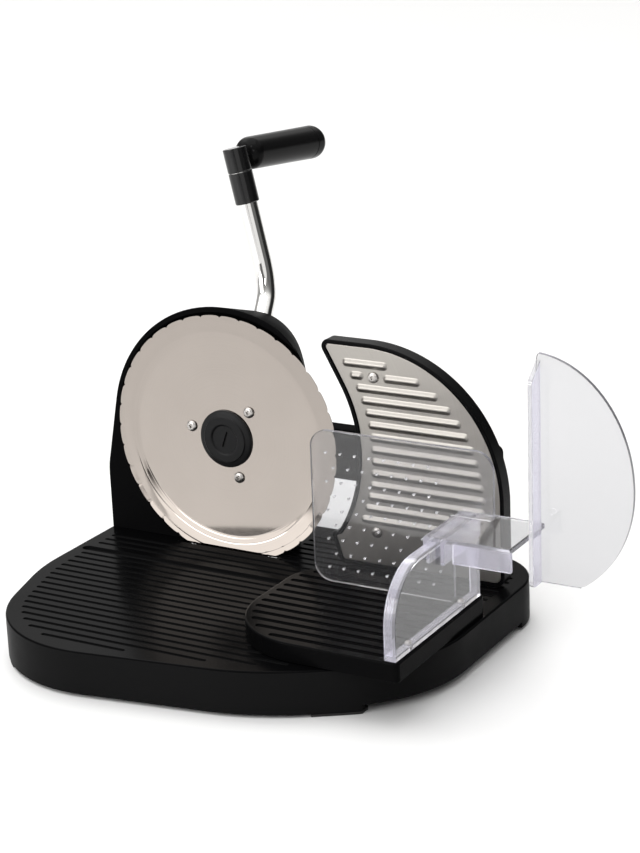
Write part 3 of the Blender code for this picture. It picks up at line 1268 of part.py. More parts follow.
def build_shield(origin):
    """The tall clear shield in front of the pushing hand, with a flange down its left edge."""
    right = wall_x()[1]
    left = right + SADDLE_REACH + FIT
    end = left + SHIELD_WIDTH
    y0, y1 = PUSHER_Y - CLEAR / 2, PUSHER_Y + CLEAR / 2
    outline = [(left, SHIELD_LOW)]
    centre = left - SHIELD_CENTRE
    lowest = math.degrees(math.asin((SHIELD_LOW - SHIELD_MIDDLE) / SHIELD_BELOW))
    for k in range(13):
        a = math.radians(lowest + (SHIELD_TOP_ANGLE - lowest) * k / 12)
        half = SHIELD_ABOVE if a > 0 else SHIELD_BELOW
        outline.append((centre + (end - centre) * math.cos(a), SHIELD_MIDDLE + half * math.sin(a)))
    high = outline[-1][1]
    outline.append((left + 0.0008, high - 0.0008))
    outline.append((left, high - 0.003))
    body = prism("hand_shield", outline, "Y", y0, y1, 0.0004, 0.0004)
    shield = piece("hand_shield", body, "clear", origin)
    tip = y0 - SHIELD_FLANGE
    root = y1 - CLEAR / 3
    end = high - SHIELD_FLANGE_DROP
    side = rounded([(tip, SHIELD_LOW, 0.004), (root, SHIELD_LOW, 0), (root, end, 0), (y0, end, 0),
                    (tip, end - 0.010, 0.008)])
    flange = prism("shield_flange", side, "X", left, left + CLEAR)
    join(shield, flange)


def stand_on_origin():
    """Carry everything on one empty, so that the part stands centred on the origin."""
    bpy.context.view_layer.update()
    graph = bpy.context.evaluated_depsgraph_get()
    corners = []
    for thing in PIECES:
        seen = thing.evaluated_get(graph)
        corners += [seen.matrix_world @ vertex.co for vertex in seen.data.vertices]
    low = [min(point[k] for point in corners) for k in range(3)]
    high = [max(point[k] for point in corners) for k in range(3)]
    carrier = bpy.data.objects.new("slicer", None)
    bpy.context.scene.collection.objects.link(carrier)
    for thing in PIECES + CUTTERS:
        thing.parent = carrier
    carrier.location = (-(low[0] + high[0]) / 2, -(low[1] + high[1]) / 2, -low[2])


def main():
    for thing in list(bpy.data.objects):
        bpy.data.objects.remove(thing)
    build_base()
    build_feet()
    build_base_screws()
    build_housing()
    build_cover()
    build_cover_screws()
    build_bushes()
    build_blade()
    build_lock_cap()
    build_crank()
    build_grip()
    build_stop_plate()
    build_knob()
    build_tray()
    build_runner()
    build_wall()
    build_pusher()
    stand_on_origin()


main()
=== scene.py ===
import json
import math
from functools import partial

import bmesh
import bpy
from mathutils import Matrix, Vector


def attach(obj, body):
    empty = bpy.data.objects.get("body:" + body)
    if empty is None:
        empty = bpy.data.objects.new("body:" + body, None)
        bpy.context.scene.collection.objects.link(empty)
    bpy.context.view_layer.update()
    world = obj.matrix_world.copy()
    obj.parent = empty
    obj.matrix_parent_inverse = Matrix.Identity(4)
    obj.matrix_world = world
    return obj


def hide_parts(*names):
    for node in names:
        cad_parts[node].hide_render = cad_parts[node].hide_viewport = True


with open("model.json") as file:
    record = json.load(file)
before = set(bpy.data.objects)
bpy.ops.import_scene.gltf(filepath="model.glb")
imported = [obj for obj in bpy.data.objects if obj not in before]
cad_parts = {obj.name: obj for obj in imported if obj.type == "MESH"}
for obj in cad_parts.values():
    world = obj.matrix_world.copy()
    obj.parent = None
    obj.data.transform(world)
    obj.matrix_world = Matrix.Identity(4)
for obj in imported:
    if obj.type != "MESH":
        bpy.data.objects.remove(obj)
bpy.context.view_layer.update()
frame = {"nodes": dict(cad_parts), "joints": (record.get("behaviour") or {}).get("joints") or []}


# The photographer's view. All shapes below are drawn round the blade's axis, which stands above
# the point "machine" of the floor: X runs along the blade's face, Y back to the crank, Z up.
def add_object(name, data):
    """An object in the scene, from a mesh, a light or a camera."""
    thing = bpy.data.objects.new(name, data)
    bpy.context.scene.collection.objects.link(thing)
    return thing


joints = {joint["name"]: joint for joint in frame["joints"]}
blade_axis = Vector(joints["blade_turn"]["pos_m"])
crank_axis = Vector(joints["crank_turn"]["pos_m"])
blade_z, crank_z = blade_axis.z, crank_axis.z
machine = Vector((blade_axis.x, blade_axis.y, 0.0))
view_turn, view_down, view_roll = math.radians(30.28), math.radians(17.79), math.radians(-2.26)
view_along = Vector((-math.sin(view_turn) * math.cos(view_down),
                     math.cos(view_turn) * math.cos(view_down), -math.sin(view_down)))
level_right = Vector((math.cos(view_turn), math.sin(view_turn), 0.0))
level_up = level_right.cross(view_along)
view_right = level_right * math.cos(view_roll) + level_up * math.sin(view_roll)
view_up = level_up * math.cos(view_roll) - level_right * math.sin(view_roll)
lens_data = bpy.data.cameras.new("camera")
lens_data.sensor_width = 36.0
lens_data.lens = 92.85
lens_data.clip_end = 100.0
camera = add_object("camera", lens_data)
eye = machine + Vector((0.7560, -1.1699, 0.5597))
turned_axes = Matrix((view_right, view_up, -view_along)).transposed()
camera.matrix_world = Matrix.Translation(eye) @ turned_axes.to_4x4()
bpy.context.scene.camera = camera
bpy.context.scene.view_settings.view_transform = "Standard"


# The studio: a wide white table and soft boxes in a tent, which is bright overhead and dim near
# the table. Brighter panels and one dark gap in it give the polished metal something to mirror.
def new_material(name, colour, roughness, metallic=0.0):
    """A material with its node tree and its Principled shader."""
    material = bpy.data.materials.new(name)
    material.use_nodes = True
    tree = material.node_tree
    shader = tree.nodes["Principled BSDF"]
    shader.inputs["Base Color"].default_value = (*colour, 1.0)
    shader.inputs["Roughness"].default_value = roughness
    shader.inputs["Metallic"].default_value = metallic
    return material, tree, shader


def node(tree, kind, inputs=None, **settings):
    """A shader node with settings; an input is a value or another node's output."""
    made = tree.nodes.new("ShaderNode" + kind)
    for key, value in settings.items():
        setattr(made, key, value)
    for key, value in (inputs or {}).items():
        socket = made.inputs[key]
        if isinstance(value, bpy.types.NodeSocket):
            tree.links.new(value, socket)
        else:
            socket.default_value = value
    return made


def maths(tree, operation, first, second=0.0, third=0.0):
    return node(tree, "Math", {0: first, 1: second, 2: third}, operation=operation).outputs[0]


def vectors(tree, operation, *terms, scale=None):
    """A vector sum; a dot product or a length comes out as a value."""
    inputs = dict(enumerate(terms))
    if scale is not None:
        inputs["Scale"] = scale
    made = node(tree, "VectorMath", inputs, operation=operation)
    return made.outputs["Value" if operation in ("DOT_PRODUCT", "LENGTH") else "Vector"]


def ramp(tree, value, before=(0.0, 1.0), after=(0.0, 1.0), kind="LINEAR"):
    """A value brought from one range into another."""
    return node(tree, "MapRange", {"Value": value, "From Min": before[0], "From Max": before[1],
                                   "To Min": after[0], "To Max": after[1]},
                interpolation_type=kind).outputs[0]


def noise(tree, where, scale, detail, roughness=0.5):
    return node(tree, "TexNoise", {"Vector": where, "Scale": scale, "Detail": detail,
                                   "Roughness": roughness}).outputs["Fac"]


def circle(steps):
    """The angles of evenly spaced points round a circle."""
    return [2 * math.pi * k / steps for k in range(steps)]


table_radius = 14.0
table_mesh = bpy.data.meshes.new("table_top")
table_mesh.from_pydata([(table_radius * math.cos(a), table_radius * math.sin(a), 0.0)
                        for a in circle(64)], [], [list(range(64))])
table = add_object("table_top", table_mesh)
table_finish, tree, shader = new_material("white_table", (0.74, 0.74, 0.74), 0.62)
shader.inputs["Specular IOR Level"].default_value = 0.25
speckle = node(tree, "TexNoise", {"Scale": 3.0, "Detail": 3.0}).outputs["Fac"]
tree.links.new(ramp(tree, speckle, after=(0.735, 0.755)), shader.inputs["Base Color"])
table_mesh.materials.append(table_finish)

world = bpy.data.worlds.new("tent")
bpy.context.scene.world = world
world.use_nodes = True
sky = world.node_tree
tent_direction = node(sky, "TexCoord").outputs["Generated"]
height = node(sky, "SeparateXYZ", {0: tent_direction}).outputs["Z"]
tent_light = ramp(sky, height, (0.36, 0.80), (0.16, 1.15), "SMOOTHSTEP")
# Each panel of the tent: azimuth, elevation, half width and fade in degrees, and what its light
# is multiplied by. The first one is the dark gap.
for azimuth, elevation, wide, fade, strength in (
        (32.0, 10.0, 16.0, 14.0, 0.15), (-50.0, 5.0, 15.0, 8.0, 6.0),
        (170.0, 15.0, 30.0, 30.0, 2.6), (-117.0, 13.0, 17.0, 8.0, 14.0),
        (118.0, 20.0, 18.0, 16.0, 3.5)):
    a, e = math.radians(azimuth), math.radians(elevation)
    towards = (math.cos(a) * math.cos(e), math.sin(a) * math.cos(e), math.sin(e))
    dot = vectors(sky, "DOT_PRODUCT", tent_direction, towards)
    fading = (math.cos(math.radians(wide + fade)), math.cos(math.radians(wide)))
    panel = ramp(sky, dot, fading, kind="SMOOTHSTEP")
    tent_light = maths(sky, "MULTIPLY", tent_light, ramp(sky, panel, after=(1.0, strength)))
background = sky.nodes["Background"]
background.inputs["Color"].default_value = (1.0, 0.995, 0.985, 1.0)
sky.links.new(tent_light, background.inputs["Strength"])

# Each soft box: where it stands, what it aims at, its width and height, and its power in watts.
for name, place_at, aim_at, size, power in (
        ("overhead_box", (-0.3, -0.2, 2.4), (0.0, 0.0, 0.0), (2.4, 2.4), 27.0),
        ("front_left_box", (-0.80, -1.75, 0.62), (0.0, 0.0, 0.1), (1.0, 0.42), 6.0),
        ("grip_glint_upper", (0.25, -1.35, 1.75), (0.0, 0.1, 0.25), (0.12, 0.12), 2.0),
        ("grip_glint_lower", (0.75, -1.45, 0.95), (0.0, 0.1, 0.25), (0.15, 0.15), 2.0)):
    light = bpy.data.lights.new(name, "AREA")
    light.shape = "RECTANGLE"
    light.size, light.size_y = size
    light.energy = power
    lamp = add_object(name, light)
    lamp.location = machine + Vector(place_at)
    aim = (machine + Vector(aim_at)) - lamp.location
    lamp.rotation_euler = aim.to_track_quat("-Z", "Y").to_euler()


# The base: one hollow moulding in gloss black plastic. Its top has narrow grooves along the
# carriage's way, one wider groove that guides the carriage, and a slot for the blade.
gap = 0.0003  # left between two pieces that sit on or in each other
past = 0.01  # how far a cutter reaches beyond what it cuts
base_top, base_plate, base_wall, base_lift = 0.030, 0.004, 0.003, 0.002
base_left, base_right, base_back = -0.099, 0.208, 0.062
finger_lift = 0.004
groove_pitch, groove_width, groove_depth, groove_margin = 0.00785, 0.0026, 0.0013, 0.0105
guide_y, guide_width, guide_depth = -0.0405, 0.0052, 0.0026
slot_half_length, slot_half_width = 0.0385, 0.0048
groove_flare, guide_flare = 0.0003, 0.0010
foot_size, foot_boss_inset = 0.026, 0.006
foot_boss, foot_socket, stud_radius, screw_hole = 0.0075, 0.0043, 0.0040, 0.0020


def arc(cu, cv, radius, start, end, step=4.0):
    """Points along a circle from one angle to another, in degrees."""
    count = max(3, math.ceil(abs(end - start) / step))
    angles = [math.radians(start + (end - start) * k / count) for k in range(count + 1)]
    return [(cu + radius * math.cos(a), cv + radius * math.sin(a)) for a in angles]


def rounded(corners, step=4.0):
    """A closed outline from (u, v, radius) corners, counter-clockwise."""
    outline = []
    for k, (u, v, radius) in enumerate(corners):
        if radius <= 0:
            outline.append((u, v))
            continue
        here = Vector((u, v))
        before = (Vector(corners[k - 1][:2]) - here).normalized()
        after = (Vector(corners[(k + 1) % len(corners)][:2]) - here).normalized()
        half = before.angle(after) / 2
        reach = radius / math.tan(half)
        centre = here + (before + after).normalized() * (radius / math.sin(half))
        first = here + before * reach - centre
        last = here + after * reach - centre
        start = math.degrees(math.atan2(first.y, first.x))
        turn = (math.degrees(math.atan2(last.y, last.x)) - start + 180) % 360 - 180
        outline += arc(centre.x, centre.y, radius, start, start + turn, step)
    return outline


def oblong(u0, u1, v0, v1, radius, step):
    """A rectangle with four like rounded corners."""
    return rounded([(u0, v0, radius), (u1, v0, radius), (u1, v1, radius), (u0, v1, radius)], step)


def inset(outline, distance):
    """The outline moved inwards by a distance; it must be counter-clockwise."""
    moved = []
    for k, (u, v) in enumerate(outline):
        here = Vector((u, v))
        along_in = (here - Vector(outline[k - 1])).normalized()
        along_out = (Vector(outline[(k + 1) % len(outline)]) - here).normalized()
        normal_in = Vector((-along_in.y, along_in.x))
        normal_out = Vector((-along_out.y, along_out.x))
        mitre = (normal_in + normal_out).normalized()
        moved.append(tuple(here + mitre * (distance / mitre.dot(normal_in))))
    return moved


def crossing(outline, v):
    """Lowest and highest u where a level line meets the outline, or None."""
    found = []
    for k, (u1, v1) in enumerate(outline):
        u0, v0 = outline[k - 1]
        if (v0 - v) * (v1 - v) < 0:
            found.append(u0 + (u1 - u0) * (v - v0) / (v1 - v0))
    return (min(found), max(found)) if len(found) > 1 else None


def stadium(u0, u1, v, width, step=22.5):
    """A slot outline along u with round ends."""
    half = width / 2
    return arc(u1 - half, v, half, -90, 90, step) + arc(u0 + half, v, half, 90, 270, step)


def lay(axis, u, v, w):
    """Outline coordinates u and v, and w along the axis, as a point."""
    return {"X": (w, u, v), "Y": (u, w, v), "Z": (u, v, w)}[axis]


def as_mesh(bm):
    bmesh.ops.recalc_face_normals(bm, faces=bm.faces)
    mesh = bpy.data.meshes.new("shape")
    bm.to_mesh(mesh)
    bm.free()
    return mesh


def loft(rings, closed=False):
    """Quads between rings of equal count, with flat ends unless they close on themselves."""
    bm = bmesh.new()
    loops = [[bm.verts.new(point) for point in ring] for ring in rings]
    for low, high in list(zip(loops, loops[1:])) + ([(loops[-1], loops[0])] if closed else []):
        for k in range(len(low)):
            bm.faces.new((low[k - 1], low[k], high[k], high[k - 1]))
    if not closed:
        bm.faces.new(loops[0])
        bm.faces.new(loops[-1])
    return as_mesh(bm)


def edge_rings(low, high, round_low, round_high, steps=4):
    """Levels along an extrusion, each with how far its outline is drawn in by rounded edges."""
    ends = []
    for place, radius in ((low, round_low), (high, -round_high)):
        angles = [math.pi / 2 * k / steps for k in range(steps + 1 if radius else 1)]
        ends.append([(place + radius * (1 - math.cos(a)), abs(radius) * (1 - math.sin(a)))
                     for a in angles])
    return ends[0] + ends[1][::-1]


def prism(outline, axis, low, high, round_low=0.0, round_high=0.0, steps=4):
    """An extruded outline whose end edges are rounded."""
    rings = []
    for w, drawn_in in edge_rings(low, high, round_low, round_high, steps):
        ring = inset(outline, drawn_in) if drawn_in > 1e-7 else outline
        rings.append([lay(axis, u, v, w) for u, v in ring])
    return loft(rings)


def turned(profile, x=0.0, z=0.0, steps=64, closed=False):
    """A profile of (radius, y) points spun about a line along Y through x, z."""
    bm = bmesh.new()
    loops = []
    for radius, y in profile:
        spun = circle(steps) if radius > 0 else [0.0]
        loops.append([bm.verts.new((x + radius * math.cos(a), y, z + radius * math.sin(a)))
                      for a in spun])
    for one, two in list(zip(loops, loops[1:])) + ([(loops[-1], loops[0])] if closed else []):
        for k in range(steps):
            if len(one) == 1:
                bm.faces.new((one[0], two[k], two[k - 1]))
            elif len(two) == 1:
                bm.faces.new((one[k - 1], one[k], two[0]))
            else:
                bm.faces.new((one[k - 1], one[k], two[k], two[k - 1]))
    for loop in () if closed else (loops[0], loops[-1]):
        if len(loop) > 1:
            bm.faces.new(loop)
    return as_mesh(bm)


def rods(radius, y0, y1, spots, steps=32):
    """Round bars along Y, one at each (x, z) spot."""
    return [turned([(radius, y0), (radius, y1)], x, z, steps) for x, z in spots]


def posts(radius, z0, z1, spots, steps=24):
    """Round bars along Z, one at each (x, y) spot."""
    return [loft([[(x + radius * math.cos(a), y + radius * math.sin(a), z)
                   for a in circle(steps)] for z in (z0, z1)]) for x, y in spots]


def block(x0, x1, y0, y1, z0, z1):
    return loft([[(x0, y0, z), (x1, y0, z), (x1, y1, z), (x0, y1, z)] for z in (z0, z1)])


def carve(mesh, *tools, operation="DIFFERENCE"):
    """Cut tools that don't touch each other out of a mesh in one go; they are used up."""
    tool = tools[0]
    if len(tools) > 1:
        bm = bmesh.new()
        for part in tools:
            bm.from_mesh(part)
            bpy.data.meshes.remove(part)
        tool = as_mesh(bm)
    blank, cutter = add_object("blank", mesh), add_object("cutter", tool)
    change = blank.modifiers.new("shape", "BOOLEAN")
    change.object = cutter
    change.operation = operation
    change.solver = "EXACT"
    graph = bpy.context.evaluated_depsgraph_get()
    result = bpy.data.meshes.new_from_object(blank.evaluated_get(graph), depsgraph=graph)
    for thing in (blank, cutter):
        bpy.data.objects.remove(thing)
    for used in (mesh, tool):
        bpy.data.meshes.remove(used)
    return result


join = partial(carve, operation="UNION")


def set_down(name, mesh, body, finish, slot, *nodes, sharp=32.0):
    """Stand a finished mesh in its place as a piece that rides on a body."""
    mesh.transform(Matrix.Translation(machine))
    mesh.name = name
    mesh.materials.clear()
    for material in (finish if isinstance(finish, tuple) else (finish,)):
        mesh.materials.append(material)
    mesh.shade_smooth()
    mesh.set_sharp_from_angle(angle=math.radians(sharp))
    thing = add_object(name, mesh)
    level = thing.modifiers.new("flat_faces", "WEIGHTED_NORMAL")
    level.keep_sharp = True
    level.weight = 80
    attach(thing, body)
    if nodes:
        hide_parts(*nodes)
    return thing


def node_group(name, inputs, outputs):
    """A shader node group, with the sockets that it takes in and gives out."""
    group = bpy.data.node_groups.new(name, "ShaderNodeTree")
    for way, sockets in (("INPUT", inputs), ("OUTPUT", outputs)):
        for title, kind in sockets.items():
            group.interface.new_socket(name=title, in_out=way, socket_type="NodeSocket" + kind)
    taken, given = group.nodes.new("NodeGroupInput"), group.nodes.new("NodeGroupOutput")
    return group, taken.outputs, given.inputs


def textured(name, tint, roughness, metallic, group, **inputs):
    """A material whose roughness and normal come from a shared node group."""
    material, tree, shader = new_material(name, tint, roughness, metallic)
    inputs = {key.replace("_", " ").title(): value for key, value in inputs.items()}
    surface = node(tree, "Group", {"Roughness": roughness, **inputs}, node_tree=group).outputs
    tree.links.new(surface["Roughness"], shader.inputs["Roughness"])
    tree.links.new(surface["Normal"], shader.inputs["Normal"])
    return material, tree, shader, surface


# Moulded plastic: a fine tool texture, a slow waviness of the skin, dust, and roughness that
# changes a little where it was handled.
moulded_skin, skin_in, skin_out = node_group(
    "moulded_skin",
    {"Roughness": "Float", "Handled": "Float", "Grain Size": "Float", "Grain Depth": "Float",
     "Waviness": "Float", "Colour": "Color", "Dust": "Float"},
    {"Colour": "Color", "Roughness": "Float", "Normal": "Vector"})
sums = partial(maths, moulded_skin)
spot = node(moulded_skin, "TexCoord").outputs["Object"]
handled_mask = noise(moulded_skin, spot, 22.0, 5.0, 0.6)
handled_mask = ramp(moulded_skin, handled_mask, (0.35, 0.7), (-0.5, 0.5))
moulded_skin.links.new(sums("MULTIPLY_ADD", handled_mask, skin_in["Handled"], skin_in["Roughness"]),
                       skin_out["Roughness"])
grain = noise(moulded_skin, spot, skin_in["Grain Size"], 2.0)
wave = noise(moulded_skin, spot, 45.0, 1.0)
grain_height = sums("MULTIPLY", grain, skin_in["Grain Depth"])
skin_height = sums("MULTIPLY_ADD", wave, skin_in["Waviness"], grain_height)
skin_bump = node(moulded_skin, "Bump", {"Height": skin_height, "Distance": 1.0, "Strength": 1.0})
moulded_skin.links.new(skin_bump.outputs["Normal"], skin_out["Normal"])
dust_mask = ramp(moulded_skin, noise(moulded_skin, spot, 900.0, 6.0, 0.7), (0.62, 0.8))
dust_amount = sums("MULTIPLY", dust_mask, skin_in["Dust"])
moulded_skin.links.new(vectors(moulded_skin, "ADD", skin_in["Colour"], dust_amount),
                       skin_out["Colour"])


def plastic(name, colour, roughness, specular, handled=0.08, grain_size=1800.0,
            grain_depth=0.00001, waviness=0.00003, dust=0.002):
    """A moulded plastic with its own gloss, handling marks and grain."""
    material, tree, shader, surface = textured(
        name, colour, roughness, 0.0, moulded_skin, colour=(*colour, 1.0), handled=handled,
        grain_size=grain_size, grain_depth=grain_depth, waviness=waviness, dust=dust)
    shader.inputs["Specular IOR Level"].default_value = specular
    tree.links.new(surface["Colour"], shader.inputs["Base Color"])
    return material


gloss_black = plastic("gloss_black_moulding", (0.0018, 0.0018, 0.0020), 0.22, 0.015,
                      waviness=0.00002)
satin_wall = plastic("satin_black_wall", (0.0060, 0.0060, 0.0062), 0.46, 0.028, handled=0.1,
                     grain_depth=0.00002)
base_outline = rounded([
    (base_left, base_back, 0.020), (base_left, -0.0817, 0.130), (-0.065, -0.200, 0.085),
    (0.121, -0.1725, 0.155), (base_right, -0.116, 0.092), (base_right, base_back, 0.045)], 2.5)
feet = {"foot_front_left": (-0.056, -0.157), "foot_front_right": (0.161, -0.141),
        "foot_rear_left": (base_left + foot_size / 2, base_back - foot_size / 2),
        "foot_rear_right": (base_right - 0.021, base_back - 0.021)}


def foot_stud(x, y):
    """Where a foot's stud stands, a little further in than the foot itself."""
    inward = Vector(((base_left + base_right) / 2 - x, -0.069 - y)).normalized() * foot_boss_inset
    return x + inward.x, y + inward.y


def groove(low, high, y, width, levels):
    """A cutter for a groove with round ends, from heights and how much wider it is at each."""
    return loft([[(u, v, z) for u, v in stadium(low - wider, high + wider, y, width + 2 * wider)]
                 for z, wider in levels])


def groove_levels(width, depth, flare):
    """A groove in the base: flared at the surface, upright, then rounded into its floor."""
    floor_round = min(width * 0.28, depth * 0.4)
    return ((base_top + 0.004, flare + 0.004), (base_top, flare), (base_top - flare, 0.0),
            (base_top - depth + floor_round, 0.0),
            (base_top - depth + floor_round * 0.3, -floor_round * 0.7),
            (base_top - depth, -floor_round * 1.8))


base_mesh = prism(base_outline, "Z", base_lift, base_top, 0.0005, 0.0014, 5)
under = base_top - base_plate
base_mesh = carve(base_mesh, prism(inset(base_outline, base_wall), "Z", -past, under, 0.0, 0.0015))
stud_spots = [foot_stud(*middle) for middle in feet.values()]
base_mesh = join(base_mesh, *posts(foot_boss, base_lift + gap, under + 0.001, stud_spots))
base_screws = ((-0.080, 0.020), (-0.040, 0.029), (0.018, 0.029))
right_foot_x, right_foot_y = feet["foot_rear_right"]
finger_recess = block(right_foot_x - foot_size / 2, base_right + past, -0.2,
                      right_foot_y - foot_size, -past, base_lift + finger_lift)
base_mesh = carve(base_mesh,
                  *posts(foot_socket, base_lift - 0.001, base_lift + 0.0093, stud_spots),
                  *posts(screw_hole, 0.0, base_top + past, base_screws, 16), finger_recess)
border = inset(base_outline, groove_margin)
narrow = groove_levels(groove_width, groove_depth, groove_flare)
grooves = []
groove_y = -0.0494
while crossing(border, groove_y):
    low, high = crossing(border, groove_y)
    if high - low > 3 * groove_width:
        grooves.append(groove(low, high, groove_y, groove_width, narrow))
    groove_y -= groove_pitch
groove_y = guide_y + 1.45 * groove_pitch
while groove_y + groove_width < base_back - groove_margin:
    low, high = crossing(border, groove_y)
    if groove_y + groove_width / 2 > -slot_half_width - groove_width:
        low = slot_half_length + groove_width
    grooves.append(groove(low, high, groove_y, groove_width, narrow))
    groove_y += groove_pitch
guide_low, guide_high = crossing(inset(base_outline, groove_margin * 0.6), guide_y)
grooves.append(groove(guide_low, guide_high, guide_y, guide_width,
                      groove_levels(guide_width, guide_depth, guide_flare)))
base_mesh = carve(base_mesh, *grooves)
blade_slot = oblong(-slot_half_length, slot_half_length, -slot_half_width, slot_half_width,
                    0.001, 30)
base_mesh = carve(base_mesh, prism(blade_slot, "Z", 0.0, base_top + past))
base = set_down("base_moulding", base_mesh, "base", (gloss_black, satin_wall),
                "gloss_black_plastic", "base_shell")
for face in base.data.polygons:
    face.material_index = 1 if abs(face.normal.z) < 0.3 else 0


# The feet: four soft rubber pads, each pushed into a boss under the base by its stud. They
# follow the edge of the base and lift it two millimetres off the table.
soft_rubber = plastic("soft_black_rubber", (0.012, 0.012, 0.012), 0.78, 0.4, handled=0.15,
                      grain_size=900.0, grain_depth=0.00004, waviness=0.0001, dust=0.03)
half = foot_size / 2
for foot, (x, y) in feet.items():
    pad = prism(inset(base_outline, 0.0004), "Z", 0.0, base_lift - gap, 0.0004, 0.0002)
    limit = oblong(x - half, x + half, y - half, y + half, 0.002, 15)
    pad = carve(pad, prism(limit, "Z", -past, past), operation="INTERSECT")
    stud_x, stud_y = foot_stud(x, y)
    pad = join(pad, loft([[(stud_x + r * math.cos(a), stud_y + r * math.sin(a), z)
                           for a in circle(24)]
                          for r, z in ((stud_radius, base_lift - 0.001),
                                       (stud_radius, base_lift + 0.0078),
                                       (stud_radius * 0.8, base_lift + 0.0090))]))
    set_down(foot + "_pad", pad, "base", soft_rubber, "black_rubber", foot)


# The gear housing: a satin black shell with a round pocket for the blade, shaft bosses inside
# and a bracket at its right side for the stop plate's rods. Four screws hold the rear cover.
housing_front, housing_back = 0.0015, 0.0380
cover_front, cover_back = 0.0383, 0.0421
boss_back = 0.0501
pocket_floor, cavity_floor, pocket_radius = 0.0055, 0.0080, 0.0862
shell_wall, flare_z, flare_radius = 0.0025, -0.032, 0.050
crank_rise = crank_z - blade_z
bush_bore, boss_wall, boss_top = 0.0088, 0.003, 0.0156
post_radius, cover_thread, floor_thread, rod_bore = 0.0042, 0.0017, 0.0018, 0.0044
bracket_low, bracket_high, bracket_end, bracket_y = 0.081, 0.111, 0.180, 0.026
bracket_middle = (bracket_low + bracket_high) / 2
adjuster_x, arm_round = 0.139, 0.0006
rod_spots = [(x, bracket_middle) for x in (0.112, 0.166, adjuster_x)]
cover_spots = [(x, blade_z + z) for x, z in ((-0.070, -0.058), (-0.058, 0.032), (0.019, -0.058),
                                             (-0.030, -0.058))]
blade_spot, crank_spot = (0.0, blade_z), (0.0, crank_z)


def between(front, back, y):
    """A measure of the housing at one depth, from its front and back values."""
    return front + (back - front) * (y - housing_front) / (boss_back - housing_front)


def tangent_angle(cu, cv, radius, pu, pv, side):
    """Angle on a circle where a line from an outer point touches it."""
    towards = math.degrees(math.atan2(pv - cv, pu - cu))
    return towards + side * math.degrees(math.acos(radius / math.hypot(pu - cu, pv - cv)))


def housing_ring(y, grow=0.0, floor=base_top + gap):
    """The housing's outline at one depth: a flared foot, the arch and the crank shoulder."""
    arch = between(0.0903, 0.0755, y)
    left = between(-0.0985, -0.088, y) - grow
    right = between(0.034, 0.0285, y) + grow
    cx, cz = between(0.018, 0.001, y), between(0.040, crank_rise, y)
    shoulder = arch - math.hypot(cx, cz) + grow
    arch += grow
    low = floor - blade_z
    start = tangent_angle(0.0, 0.0, arch, left, flare_z, -1) % 360
    meet = math.degrees(math.atan2(cz, cx))
    end = tangent_angle(cx, cz, shoulder, right, low, 1)
    touch = math.radians(start)
    foot = rounded([(left, low, 0), (left, flare_z, flare_radius),
                    (arch * math.cos(touch), arch * math.sin(touch), 0)])
    outline = [(right, low)]
    for k in range(25):
        a = math.radians(end + (meet - end) * k / 24)
        outline.append((cx + shoulder * math.cos(a), cz + shoulder * math.sin(a)))
    for k in range(1, 49):
        a = math.radians(meet + (start - meet) * k / 48)
        outline.append((arch * math.cos(a), arch * math.sin(a)))
    return [(u, y, v + blade_z) for u, v in outline + foot[-2::-1]]


shell_levels = edge_rings(housing_front, housing_back, 0.0012, 0.0003)
shell_levels[5:5] = [(y, 0.0) for y in (0.010, 0.020, 0.030)]
shell = loft([housing_ring(y, -drawn_in) for y, drawn_in in shell_levels])
arm_outline = rounded([(0.025, bracket_low, 0), (bracket_end, bracket_low, 0.005),
                       (bracket_end, bracket_high, 0.005), (0.025, bracket_high, 0)], 10)
shell = join(shell, prism(arm_outline, "Y", bracket_y, housing_back - gap, arm_round, 0.0))
outer_arm = [(max(u, 0.0435), v) for u, v in arm_outline]
shell = join(shell, prism(outer_arm, "Y", bracket_y + 0.002, bracket_y + 0.024, 0.0, arm_round))
shell = carve(shell, loft([housing_ring(y, -shell_wall, base_top + gap + shell_wall)
                           for y in (cavity_floor, 0.015, 0.025, housing_back + past)]))
pocket = [(pocket_radius + 0.0105, -past), (pocket_radius + 0.0005, housing_front),
          (pocket_radius, housing_front + 0.0006), (pocket_radius, pocket_floor - 0.0005),
          (pocket_radius - 0.0005, pocket_floor)]
shell = carve(shell, turned(pocket, *blade_spot, 144))
shell = join(shell, *rods(bush_bore + boss_wall, cavity_floor - 0.001, boss_top,
                          (blade_spot, crank_spot)))
for post in (rods(post_radius, cavity_floor - 0.001, housing_back, cover_spots, 20)
             + posts(post_radius, base_top + 0.0018, base_top + 0.016, base_screws, 20)):
    shell = join(shell, post)
shell = carve(shell, *rods(bush_bore, 0.0, housing_back, [blade_spot]),
              *rods(bush_bore, pocket_floor + 0.0012, housing_back, [crank_spot]),
              *rods(cover_thread, housing_back - 0.012, housing_back + 0.001, cover_spots, 16),
              *posts(floor_thread, 0.0, base_top + 0.0135, base_screws, 16),
              *rods(rod_bore, 0.0, 0.1, rod_spots))
satin_black = plastic("satin_black_moulding", (0.0036, 0.0036, 0.0038), 0.42, 0.002, handled=0.12,
                      grain_depth=0.00002)
set_down("housing_front_shell", shell, "base", satin_black, "satin_black_plastic", "housing_shell")

